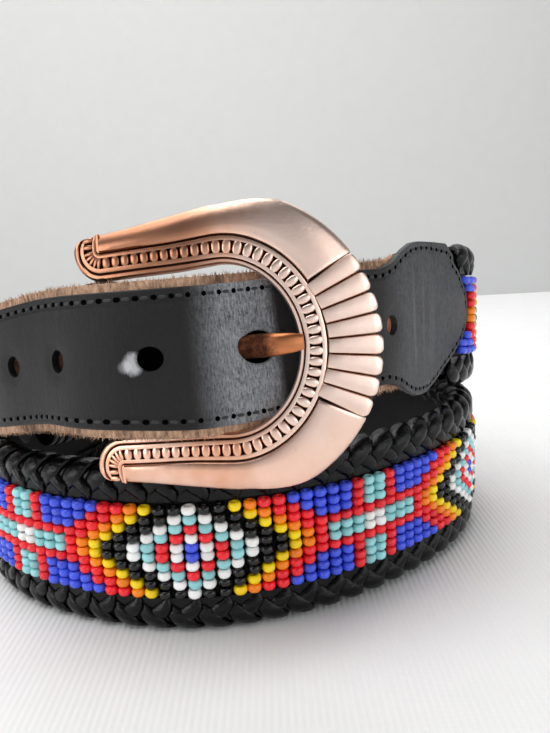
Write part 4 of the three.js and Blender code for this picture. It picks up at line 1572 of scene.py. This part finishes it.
@dataclass
class BuckleAxes:
    """Axes of the buckle: x from the bar to the fan, y up the bar, z out of its face."""

    path: CoilPath
    reach: float = 36.2
    opening: float = 31.2
    thick: float = 3.2
    rest_gap: float = 3.2
    bend_radius: float = 95.0

    def __post_init__(self) -> None:
        """Finds the pose in which the frame rests over the billet."""
        bar = self.path.frames(np.array([0.0]))
        self.origin = (bar.origin - bar.out * SIZES.core_thick / 2)[0]
        height = float(billet_rise(np.array([self.reach]))[0]) + SIZES.billet_face_thick
        over = np.array([[self.reach, 0.0, height + SIZES.layer_gap + self.rest_gap]])
        middle = self.path.frames(np.array([self.reach / 2]))
        rest = self.path.lay(over)[0] + middle.out[0] * self.thick / 2
        self.x = (rest - self.origin) / np.linalg.norm(rest - self.origin)
        z = np.cross(self.x, middle.across[0])
        self.z = z / np.linalg.norm(z)
        self.y = np.cross(self.z, self.x)

    def bow(self, x: Array) -> Array:
        """How far the frame stands out at a distance from the bar."""
        crest = self.reach / 2
        return (crest**2 - (x - crest) ** 2) / (2 * self.bend_radius)

    def seat(self, local: Array) -> Array:
        """Bows points with the buckle and moves them to its place.

        Args:
            local: points on the buckle's own axes.

        Returns:
            The points in the frame, in mm.
        """
        x, y = local[:, 0], local[:, 1]
        z = local[:, 2] + self.bow(x)
        return self.origin + np.outer(x, self.x) + np.outer(y, self.y) + np.outer(z, self.z)

    def seat_flat(self, local: Array) -> Array:
        """Points of the buckle's own axes in the frame, without its bow."""
        return self.seat(local) - np.outer(self.bow(local[:, 0]), self.z)


class Relief(NamedTuple):
    """A point of the buckle's section: its place across, its height, and its wear from 0 to 1.

    Across is in mm from the inner edge on the band, and a share of the width on the face and the rays.
    """

    across: float
    height: float
    worn: float


BAND_RELIEF = (
    Relief(0.0, -0.1, 0.6), Relief(0.08, 0.45, 0.85), Relief(0.3, 0.8, 1.0), Relief(0.62, 0.82, 1.0),
    Relief(0.74, 0.62, 0.8), Relief(0.79, 0.15, 0.0), Relief(0.93, 0.15, 0.0), Relief(1.0, 0.6, 0.8),
    Relief(1.25, 0.7, 1.0), Relief(1.6, 0.66, 0.9), Relief(1.68, 0.0, 0.0), Relief(2.6, -0.05, 0.0),
    Relief(3.52, 0.0, 0.0), Relief(3.6, 0.66, 0.9), Relief(4.05, 0.7, 1.0), Relief(4.26, 0.6, 0.8),
    Relief(4.3, 0.12, 0.0), Relief(4.46, 0.12, 0.0), Relief(4.54, 0.6, 0.7),
)
BAND_WIDTH = 4.5
TIP_WIDTH = 5.1
TIP_NEAR = ((-2.4, 23.1), (-3.3, 22.8), (-3.95, 22.25), (-4.35, 21.5), (-4.48, 20.95))
TIP_FAR = ((0.6, 23.65), (0.6, 23.0), (0.6, 22.35), (0.6, 21.6), (0.6, 20.95))
TIP_TEETH = ((-1.9, 21.5), (-1.75, 22.75))
ARM_EDGE = ((0.6, 23.6), (1.1, 23.62), (5.8, 24.02), (10.9, 24.65), (16.3, 25.37), (22.1, 26.2))
FACE_RELIEF = (
    Relief(0.03, 0.98, 1.0), Relief(0.1, 1.22, 1.0), Relief(0.3, 1.28, 1.0), Relief(0.6, 1.0, 1.0),
    Relief(0.88, 0.58, 1.0), Relief(0.97, 0.2, 0.9), Relief(1.0, -0.4, 0.6),
)
RAY_RELIEF = (
    Relief(-1.0, -1.6, 0.0), Relief(-1.0, -0.2, 0.0), Relief(-0.97, 0.7, 0.55),
    Relief(-0.86, 0.98, 1.0), Relief(-0.4, 1.1, 1.0),
)


class RayRow(NamedTuple):
    """Height of a ray at a share of its length, as a share of its full height."""

    reach: float
    height: float


RAY_ROWS = (
    RayRow(0, 0.5), RayRow(0.02, 0.85), RayRow(0.08, 1), RayRow(0.3, 1), RayRow(0.6, 1), RayRow(0.84, 1),
    RayRow(0.9, 1), RayRow(0.945, 0.97), RayRow(0.975, 0.9), RayRow(0.993, 0.76), RayRow(1, 0.5),
)


@dataclass
class Buckle:
    """Horseshoe buckle: rope band between two rims, smooth wedge arms, fan of rays and bar."""

    axes: BuckleAxes
    bow_centre: float = 22.5
    bow_radius: float = 26.2
    bow_bulge: float = 2.7
    fan_sink: float = 1.6
    arm_start: float = 0.6
    arm_rows: int = 18
    fan_spread: float = 65.0
    fan_measured_at: float = 8.5
    rays: int = 8
    ray_root: float = 18.9
    ray_tip: float = 28.9
    ray_gap: float = 0.12
    ray_corner: float = 1.5
    tooth_pitch: float = 1.95
    tooth_line: float = 2.6
    bar_radius: float = 1.4
    bar_clearance: float = 0.3
    rim_extra: float = 0.75
    rim_width: float = 1.25

    def __post_init__(self) -> None:
        """Lays out the sections of the cast from one arm's tip round to the other."""
        angle = np.radians(np.linspace(90, 6, 13))
        ray = np.stack([np.sin(angle), np.cos(angle)], -1)
        arm_x = np.linspace(self.arm_start, self.bow_centre, self.arm_rows)
        arm = np.stack([arm_x, np.full(self.arm_rows, self.axes.opening / 2)], -1)
        outer = np.stack([arm_x, np.interp(arm_x, *zip(*ARM_EDGE))], -1)
        near = np.concatenate([TIP_NEAR, self.tip_centre - TIP_WIDTH * ray, arm])
        far = np.concatenate([TIP_FAR, np.repeat(self.tip_centre[None], len(ray), 0), outer])
        bow_near, bow_far, fan = self.bow()
        flip = np.array([1.0, -1.0])
        self.near = np.concatenate([near, bow_near, (near * flip)[::-1]])
        self.far = np.concatenate([far, bow_far, (far * flip)[::-1]])
        tip = np.concatenate([np.ones(len(near) - self.arm_rows), np.zeros(self.arm_rows)])
        rest = np.zeros(len(bow_near))
        self.in_tip = np.concatenate([tip, rest, tip[::-1]])
        self.in_fan = np.concatenate([0 * tip, fan, 0 * tip])
        self.width = np.linalg.norm(self.far - self.near, axis=1)
        self.away = (self.far - self.near) / self.width[:, None]
        self.swell = 1 + 0.16 * eased(self.near[:, 0], 12, 26)
        self.spread = self.rim_extra * (1 - eased(self.near[:, 0], 14, 28))

    @property
    def tip_centre(self) -> Array:
        """Middle of the upper arm's rounded tip."""
        return np.array([self.arm_start, self.axes.opening / 2 + TIP_WIDTH])

    def painted_dark_reflection(self, places: Array) -> Array:
        """Strength of the painted dark reflection, a browner tone, strongest on the upper arm."""
        return eased(places[:, 1], 0, 8) * (1 - eased(places[:, 0], 17, 26))

    def painted_pale_reflection(self, places: Array) -> Array:
        """Strength of the painted pale reflection, strongest by the fan and sooner on the upper side."""
        start = 27 - 5 * eased(places[:, 1], 0, 12)
        return eased(places[:, 0], start, start + 8)

    def bow(self) -> tuple[Array, Array, Array]:
        """Inner and outer points of the bow's sections and their part in the fan."""
        angle = np.radians(np.arange(88.5, -89, -0.75))
        semi_x, semi_y = self.axes.reach - self.bow_centre, self.axes.opening / 2
        centre = np.array([self.bow_centre, 0.0])
        near = centre + np.stack([semi_x * np.cos(angle), semi_y * np.sin(angle)], -1)
        away = np.stack([semi_y * np.cos(angle), semi_x * np.sin(angle)], -1)
        away /= np.linalg.norm(away, axis=1)[:, None]
        middle = near + away * self.fan_measured_at
        degrees = np.abs(np.degrees(np.arctan2(middle[:, 1], middle[:, 0] - self.bow_centre)))
        fan = 1 - eased(degrees, self.fan_spread / 2 + 0.2, self.fan_spread / 2 + 0.8)
        circle = self.bow_radius + self.bow_bulge * (1 - eased(degrees, 60, 90)) - self.fan_sink * fan
        along = np.einsum("ij,ij->i", near - centre, away)
        reach = -along + np.sqrt(along**2 - np.sum((near - centre) ** 2, axis=1) + circle**2)
        return near, near + away * reach[:, None], fan

    def plate(self) -> Shape:
        """The frame from tip to tip with its rims, channel and smooth wedge."""
        band = np.array(BAND_RELIEF)
        face = np.array(FACE_RELIEF)
        tops, worn, lows = [], [], []
        rows = zip(self.near, self.away, self.width, self.in_fan, self.in_tip, self.swell, self.spread)
        for near, away, width, fan, tip, swell, spread in rows:
            squeeze = min(1.0, width / TIP_WIDTH) if tip else swell
            face_across = BAND_WIDTH * squeeze + face[:, 0] * (width - BAND_WIDTH * squeeze)
            rim = band[:, 0] * squeeze - spread * np.clip(1 - band[:, 0] / self.rim_width, 0, 1)
            across = np.concatenate([rim, face_across])
            smooth = np.where(tip, 0.9, (1 - fan) * face[:, 1] + fan * np.minimum(face[:, 1], -0.35))
            places = near[None] + across[:, None] * away[None]
            tops.append(np.column_stack([places, np.concatenate([band[:, 1], smooth])]))
            worn.append(np.concatenate([band[:, 2], face[:, 2] * (1 - fan)]))
            under = np.full(len(across), -self.axes.thick / 2)
            under[[0, -1]] += 0.5
            lows.append(np.column_stack([places, under]))
        # Painted dark and pale reflections, kept after the wear in the worn values.
        tones = [
            np.repeat(tone[:, None], len(worn[0]), 1)
            for tone in (self.painted_dark_reflection(self.near), self.painted_pale_reflection(self.near))]
        values = {"worn": np.stack([np.array(worn), *tones], -1)}
        return sheet_shape(np.array(tops), np.array(lows), values)

    def tooth(self) -> Shape:
        """One tooth, long along x and narrower and lower towards its ends."""
        t = np.linspace(-1, 1, 9)[:, None]
        half = 0.83 - 0.3 * t**4
        crown = 0.84 - 0.14 * t**2
        angle = np.linspace(0, np.pi, 9)
        cos = np.sign(np.cos(angle)) * np.abs(np.cos(angle)) ** 0.55
        sin = np.abs(np.sin(angle)) ** 0.45
        return tube_shape(np.stack(np.broadcast_arrays(t, half * cos, crown * sin), -1))

    def teeth(self) -> Shape:
        """Barrel-shaped teeth of the band, along the frame and fanned round both tips."""
        line = self.near + self.tooth_line * self.swell[:, None] * self.away
        inner = np.flatnonzero(self.in_tip == 0)
        line, away, swell = line[inner], self.away[inner], self.swell[inner]
        steps = np.concatenate([[0], np.cumsum(np.linalg.norm(np.diff(line, axis=0), axis=1))])
        count = round(steps[-1] / self.tooth_pitch)
        marks = (np.arange(count) + 0.5) * steps[-1] / count
        centre = [np.stack([np.interp(marks, steps, line[:, k]) for k in range(2)], -1)]
        out = [np.stack([np.interp(marks, steps, away[:, k]) for k in range(2)], -1)]
        slim = [np.ones(count)]
        long = [np.interp(marks, steps, swell)]
        angle = np.radians(np.arange(12, 90, 17.0))
        ray = np.stack([np.sin(angle), np.cos(angle)], -1)
        arc = self.tip_centre - ray * (TIP_WIDTH - self.tooth_line)
        end = np.array(TIP_TEETH)
        for flip in np.array([(1.0, 1.0), (1.0, -1.0)]):
            centre += [arc * flip, end * flip]
            out += [ray * flip, np.array([(1.0, 0.0), (1.0, 0.1)]) * flip]
            slim += [np.full(len(arc), 0.46), np.full(len(end), 0.6)]
            long.append(np.ones(len(arc) + len(end)))
        centre, out, slim, long = (np.concatenate(part) for part in (centre, out, slim, long))
        side = np.stack([-out[:, 1], out[:, 0]], -1)
        pattern = self.tooth()
        local = pattern.points
        flat = (centre[:, None] + local[None, :, 0:1] * long[:, None, None] * out[:, None]
                + local[None, :, 1:2] * side[:, None] * slim[:, None, None])
        points = np.concatenate([flat, np.repeat(local[None, :, 2:3], len(centre), 0)], -1)
        shape = repeated(pattern, points, {})
        worn = np.tile(np.clip((local[:, 2] - 0.2) / 0.45, 0, 1), len(centre))
        # Painted dark and pale reflections, kept after the wear in the worn values.
        tones = [np.repeat(tone, len(local)) for tone in (self.painted_dark_reflection(centre), self.painted_pale_reflection(centre))]
        shape.values["worn"] = np.stack([worn, *tones], -1)
        return shape.outward()

    def fan(self) -> Shape:
        """Flat rays of the fan, round at the corners of their tips."""
        step = math.radians(self.fan_spread / self.rays)
        share, end = np.array(RAY_ROWS).T
        radius = self.ray_root + share * (self.ray_tip - self.ray_root)
        full = radius * math.tan(step / 2) - self.ray_gap / 2
        left = np.clip((self.ray_tip - radius) / self.ray_corner, 0, 1)
        half = full * (0.34 + 0.66 * np.sqrt(1 - (1 - left) ** 2))
        section = np.array(RAY_RELIEF)
        across, height, wear = np.concatenate([section, section[::-1] * (-1, 1, 1)]).T
        lift = np.where(height > 0, height * end[:, None] + 0.08, height)
        # The rays: their wear, no painted dark reflection and the whole painted pale reflection.
        worn = np.stack(np.broadcast_arrays(wear + 0 * lift, 0.0, 1.0), -1)
        shapes = []
        for i in range(self.rays):
            middle = math.radians(self.fan_spread / 2) - (i + 0.5) * step
            away = np.array([math.cos(middle), math.sin(middle)])
            side = np.array([-away[1], away[0]])
            flat = (np.array([self.bow_centre, 0.0]) + radius[:, None, None] * away
                    + (half[:, None] * across)[..., None] * side)
            rings = np.concatenate([flat, lift[..., None]], -1)
            shapes.append(tube_shape(rings, {"worn": worn}))
        return Shape.joined(shapes)

    def build(self) -> bpy.types.Object:
        """Casts the frame, teeth and rays and adds the bar."""
        shape = Shape.joined([self.plate(), self.teeth(), self.fan()])
        shape.points = self.axes.seat(shape.points)
        cast = Bench.piece("buckle_frame_cast", shape)
        Bench.smooth(cast, 38)
        bpy.ops.mesh.primitive_cylinder_add(
            vertices=24, radius=self.bar_radius, depth=self.axes.opening - self.bar_clearance,
            location=(0, 0, 0))
        bar = bpy.context.object
        Bench.apply(bar, "BEVEL", width=0.3, segments=2)
        points = Bench.points(bar)
        turned = np.column_stack([points[:, 0], points[:, 2], points[:, 1]])
        Bench.move_points(bar, self.axes.seat(turned) * MM)
        Bench.keep(bar, "worn", np.zeros((len(points), 3)))
        Bench.face_outward(bar)
        Bench.smooth(bar, 40)
        piece = Bench.join("buckle_frame_cast", [cast, bar])
        return dress(piece, CopperPlate("rosy_copper"), "buckle_metal", "buckle_frame")


class ProngRow(NamedTuple):
    """Prong at a share of its way from its root: lift from 0 to 1, half width and half thickness."""

    along: float
    lift: float
    half_width: float
    half_thick: float


PRONG_ROWS = (
    ProngRow(0.0, 0.18, 1.75, 1.1), ProngRow(0.15, 0.03, 1.75, 1.05), ProngRow(0.45, -0.3, 1.9, 1.0),
    ProngRow(0.69, -0.3, 2.1, 1.05), ProngRow(0.77, 0.05, 2.2, 1.1), ProngRow(0.84, 0.75, 2.15, 1.05),
    ProngRow(0.91, 1.08, 2.0, 1.0), ProngRow(0.98, 1.02, 1.8, 0.85), ProngRow(1.03, 1.0, 1.35, 0.55),
)


@dataclass
class Prong:
    """Prong through the third hole, with its eye round the bar."""

    axes: BuckleAxes
    rest: float = 2.46
    root: float = 2.2
    eye_radius: float = 2.15
    eye_thick: float = 0.62
    eye_width_share: float = 2.7
    sides: int = 16

    def build(self) -> bpy.types.Object:
        """Forges the tongue and its eye."""
        share = np.array([row.along for row in PRONG_ROWS])
        fine = np.linspace(share[0], share[-1], 34)
        lift, wide, thick = (
            np.interp(fine, share, [row[k] for row in PRONG_ROWS]) for k in (1, 2, 3))
        for _ in range(2):
            lift[1:-1] = (lift[:-2] + lift[1:-1] * 2 + lift[2:]) / 4
        angle = np.arange(self.sides) * 2 * np.pi / self.sides
        x = np.repeat((self.root + fine * (self.axes.reach - self.root))[:, None], self.sides, 1)
        y = wide[:, None] * np.sign(np.cos(angle)) * np.abs(np.cos(angle)) ** 0.8
        bulge = np.sign(np.sin(angle)) * np.abs(np.sin(angle)) ** 0.85
        z = (lift * self.rest)[:, None] + thick[:, None] * bulge
        tongue = tube_shape(np.stack([x, y, z], -1))
        tongue.points = self.axes.seat(tongue.points)
        wear = 0.2 + 0.6 * eased(np.repeat(fine, self.sides), 0.8, 1.0)
        tongue.values["worn"] = np.stack([wear, 0 * wear, 0 * wear], -1)
        piece = Bench.piece("buckle_prong_tongue", tongue)
        bpy.ops.mesh.primitive_torus_add(
            major_radius=self.eye_radius, minor_radius=self.eye_thick, major_segments=28,
            minor_segments=10, location=(0, 0, 0))
        eye = bpy.context.object
        points = Bench.points(eye)
        turned = np.column_stack([points[:, 0], points[:, 2] * self.eye_width_share, points[:, 1]])
        Bench.move_points(eye, self.axes.seat(turned) * MM)
        Bench.keep(eye, "worn", np.tile((0.9, 0.0, 0.0), (len(points), 1)))
        Bench.face_outward(eye)
        joined = Bench.join("buckle_prong_tongue", [piece, eye])
        Bench.smooth(joined, 60)
        finish = CopperPlate(
            "prong_copper", bright=(0.55, 0.20, 0.085), warm=(0.16, 0.035, 0.012),
            patina=(0.03, 0.012, 0.008))
        return dress(joined, finish, "prong_metal", "buckle_prong")


@dataclass
class BuckleStrap:
    """Second tab, neck and fold that hold the buckle's bar."""

    path: CoilPath
    axes: BuckleAxes
    step: float = 1.5
    neck_extra: float = 1.2
    fold_clearance: float = 0.95
    bar_gap: float = 2.0
    fold_rows: int = 15
    back_rows: int = 20
    slot_size: tuple[float, float, float] = (11.2, 4.8, 19.0)
    slot_shift: float = 0.15

    def __post_init__(self) -> None:
        """Works out the half widths of neck and fold and the places across them."""
        self.half_neck = SIZES.billet_face_width / 2 + self.neck_extra
        self.half_fold = self.axes.opening / 2 - self.fold_clearance
        self.shares = edge_spaced(9, (0, 0.08, 0.25, LEATHER_ROUNDING), self.half_neck)

    def half(self, stations: Array) -> Array:
        """Half width of the strap at stations, which are below zero."""
        folded = (self.half_fold - self.half_neck) * (1 - eased(-stations, 0, 10))
        flared = (SIZES.tab_width / 2 - self.half_neck) * flare(-stations - SIZES.buckle_neck)
        return self.half_neck + folded + flared

    def side(self, stations: Array, across: Array, edge: Array, radius: float, fall: float) -> Array:
        """One side of the strap, from the tab round the bar to the end of the turned-back part.

        Args:
            stations: grid of stations, rising to the bar.
            across: grid of heights across.
            edge: grid of distances from the strap's edge.
            radius: distance of this side from the middle of the fold.
            fall: share of the rounded edge that this side takes, below zero if it falls inward.

        Returns:
            The grid of points in the frame.
        """
        middle = -SIZES.core_thick / 2
        out = middle + radius + fall * rounded_drop(edge, LEATHER_ROUNDING)
        front = np.stack([stations, across, out], -1)
        turn = np.radians(np.linspace(0, 180, self.fold_rows))[:, None]
        to_edge = self.half_neck * (1 - np.abs(self.shares))
        drop = fall * rounded_drop(to_edge, LEATHER_ROUNDING)
        reach = radius + drop + 0 * turn
        level = np.broadcast_to(self.half_fold * self.shares, reach.shape)
        fold = np.stack([reach * np.sin(turn), level, reach * np.cos(turn)], -1)
        back_s = -np.linspace(self.bar_gap, SIZES.strap_return, self.back_rows)[:, None]
        back_u = self.half(back_s) * self.shares
        back = np.stack([0 * back_u + back_s, back_u, 0 * back_u + middle - radius - drop], -1)
        return np.concatenate([
            self.path.lay(front.reshape(-1, 3)).reshape(front.shape),
            self.axes.seat_flat(fold.reshape(-1, 3)).reshape(fold.shape),
            self.path.lay(back.reshape(-1, 3)).reshape(back.shape)])

    def slot(self) -> bpy.types.Object:
        """Block that cuts the prong's slot through the fold."""
        bpy.ops.mesh.primitive_cube_add(size=1, location=(0, 0, 0))
        tool = bpy.context.object
        block = Bench.points(tool) * self.slot_size + (self.slot_shift, 0, 0)
        Bench.move_points(tool, self.axes.seat_flat(block) * MM)
        return tool

    def build(self) -> bpy.types.Object:
        """Folds the strap round the bar and cuts the prong's slot."""
        body = SIZES.buckle_neck + TAB_FLARE_ROWS[-1].reach * SIZES.tab_length
        straight = -np.linspace(self.bar_gap, body, int(body / self.step))
        grids = tab_grid(-SIZES.buckle_neck, -1, straight, self.half, self.shares)
        stations, across, edge = (grid[::-1] for grid in grids)
        inside = SIZES.core_thick / 2 + SIZES.layer_gap
        top = self.side(stations, across, edge, inside + SIZES.strap_thick, -1)
        low = self.side(stations, across, edge, inside, UNDER_SHARE)
        halves = self.half(np.maximum(stations, -body))
        beside = np.abs(across) - (halves - SIZES.seam_inset)
        beside = np.where(stations < -body - 12, NO_SEAM, beside)
        hidden = np.concatenate([np.linspace(0, 5, self.fold_rows), np.linspace(5, 37, self.back_rows)])
        hidden_u = np.repeat((self.half_neck * self.shares)[None], len(hidden), 0)
        flat_s = np.concatenate([stations, 0 * hidden_u + hidden[:, None]])
        flat_u = np.concatenate([across, hidden_u])
        beside = np.concatenate([beside, np.abs(hidden_u) - self.half_neck + SIZES.seam_inset])
        flat = np.stack([flat_s, flat_u, 0 * flat_s], -1)
        piece = Bench.piece("buckle_strap_fold", sheet_shape(top, low, {"flat": flat, "seam": beside}))
        Bench.cut(piece, self.slot())
        Bench.smooth(piece, 35)
        return dress(piece, GrainLeather("buckle_strap_leather"), "billet_leather", "buckle_strap")


class RoomRamp(NamedTuple):
    """How the room's light changes from low to high along an axis, 0 for right and 2 for up."""

    axis: int
    low: float
    high: float
    light_at_low: float
    light_at_high: float


ROOM_RAMPS = (RoomRamp(2, 0.15, 0.6, 0.95, 0.1), RoomRamp(0, -0.7, 0.8, 0.55, 1.15))


@dataclass
class Studio:
    """Pale floor and backdrop, soft lights, and the camera at the photograph's angle."""

    path: CoilPath
    camera_at: tuple[float, float, float] = (18.3, -192.0, 82.1)
    pitch: float = 11.0
    roll: float = -3.1
    focal_px: float = 650.0
    image_height_px: float = 733.0
    sensor: float = 36.0
    table_end: float = 0.625
    backdrop_gap: float = 0.35
    table_colour: tuple[float, float, float] = (0.83, 0.83, 0.825)
    backdrop_colour: tuple[float, float, float] = (0.62, 0.62, 0.60)
    rib_pitch: float = 0.0014
    lamp_target: tuple[float, float, float] = (0.0, 0.0, 0.045)
    exposure: float = 0.1

    def camera(self) -> None:
        """Places the camera."""
        data = bpy.data.cameras.new("camera")
        data.sensor_width = self.sensor
        data.lens = self.focal_px / self.image_height_px * self.sensor
        data.clip_start = 0.01
        camera = bpy.data.objects.new("camera", data)
        bpy.context.scene.collection.objects.link(camera)
        pitch, roll = math.radians(self.pitch), math.radians(self.roll)
        side = Vector((1, 0, 0))
        up = Vector((0, math.sin(pitch), math.cos(pitch)))
        ahead = Vector((0, math.cos(pitch), -math.sin(pitch)))
        right = side * math.cos(roll) + up * math.sin(roll)
        top = up * math.cos(roll) - side * math.sin(roll)
        turn = Matrix((right, top, -ahead)).transposed().to_4x4()
        place = (Vector(self.camera_at) + Vector(self.path.shift)) * MM
        camera.matrix_world = Matrix.Translation(place) @ turn
        bpy.context.scene.camera = camera

    def stage(self) -> None:
        """Lays the table and stands a backdrop behind it."""
        end, wall = self.table_end, self.table_end + self.backdrop_gap
        table = ((-3, -2, 0), (3, -2, 0), (3, end, 0), (-3, end, 0))
        backdrop = ((-4, wall, -0.6), (4, wall, -0.6), (4, wall, 2.6), (-4, wall, 2.6))
        for name, colour, corners, rib_pitch in (
                ("table", self.table_colour, table, self.rib_pitch),
                ("backdrop", self.backdrop_colour, backdrop, 0.0)):
            mesh = bpy.data.meshes.new(name)
            mesh.from_pydata(corners, [], [(0, 1, 2, 3)])
            piece = bpy.data.objects.new(name, mesh)
            bpy.context.scene.collection.objects.link(piece)
            finish = PlainFinish(f"{name}_finish", colour, 0.9, rib_pitch)
            piece.data.materials.append(finish.material())

    def light(self, name: str, place: tuple, size: tuple, power: float) -> None:
        """A soft rectangular lamp that faces the belt.

        Args:
            name: the lamp's name.
            place: where it stands, in metres.
            size: its width and height in metres.
            power: its watts.
        """
        data = bpy.data.lights.new(name, "AREA")
        data.shape = "RECTANGLE"
        data.size, data.size_y = size
        data.energy = power
        lamp = bpy.data.objects.new(name, data)
        bpy.context.scene.collection.objects.link(lamp)
        lamp.location = place
        aim = Vector(self.lamp_target) - Vector(place)
        lamp.rotation_euler = aim.to_track_quat("-Z", "Y").to_euler()

    def surround(self) -> None:
        """Room light: bright low down and to the right, dim above, as metal mirrors it."""
        world = bpy.data.worlds.new("studio_world")
        world.use_nodes = True
        tree = world.node_tree
        spot = tree.nodes.new("ShaderNodeTexCoord")
        split = tree.nodes.new("ShaderNodeSeparateXYZ")
        tree.links.new(spot.outputs["Generated"], split.inputs[0])
        strength = []
        for room in ROOM_RAMPS:
            ramp = tree.nodes.new("ShaderNodeMapRange")
            ramp.interpolation_type = "SMOOTHSTEP"
            tree.links.new(split.outputs[room.axis], ramp.inputs[0])
            for key, value in enumerate(room[1:], 1):
                ramp.inputs[key].default_value = value
            strength.append(ramp.outputs[0])
        product = tree.nodes.new("ShaderNodeMath")
        product.operation = "MULTIPLY"
        for socket, output in zip(product.inputs, strength):
            tree.links.new(output, socket)
        back = tree.nodes["Background"]
        back.inputs[0].default_value = (0.95, 0.97, 1.0, 1)
        tree.links.new(product.outputs[0], back.inputs[1])
        bpy.context.scene.world = world

    def build(self) -> None:
        """Sets the whole studio."""
        self.camera()
        self.stage()
        self.surround()
        self.light("overhead_soft", (-0.35, 0.0, 1.25), (1.5, 1.2), 17.0)
        self.light("back_soft", (0.0, 0.45, 0.9), (1.2, 0.6), 2.5)
        self.light("right_window", (0.75, -0.55, 0.3), (0.8, 0.7), 1.9)
        self.light("left_fill", (-0.9, -0.5, 0.25), (0.6, 0.5), 2.8)
        bpy.context.scene.view_settings.view_transform = "Standard"
        bpy.context.scene.view_settings.exposure = self.exposure


def main() -> None:
    """Builds every piece in order."""
    logging.basicConfig(level=logging.INFO, format="%(message)s")
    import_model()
    Bench.clear()
    path = CoilPath()
    path.settle()
    LOG.info("coil's middle at %s mm", path.shift.round(2))
    Studio(path).build()
    StrapCore(path).build()
    BeadField(path).build()
    LacedEdge(path, 1).build()
    LacedEdge(path, -1).build()
    billet = Billet(path)
    billet.face()
    billet.lining()
    billet.plugs()
    billet.fibres()
    billet.seams()
    axes = BuckleAxes(path)
    BuckleStrap(path, axes).build()
    Buckle(axes).build()
    Prong(axes).build()


if __name__ == "__main__":
    main()
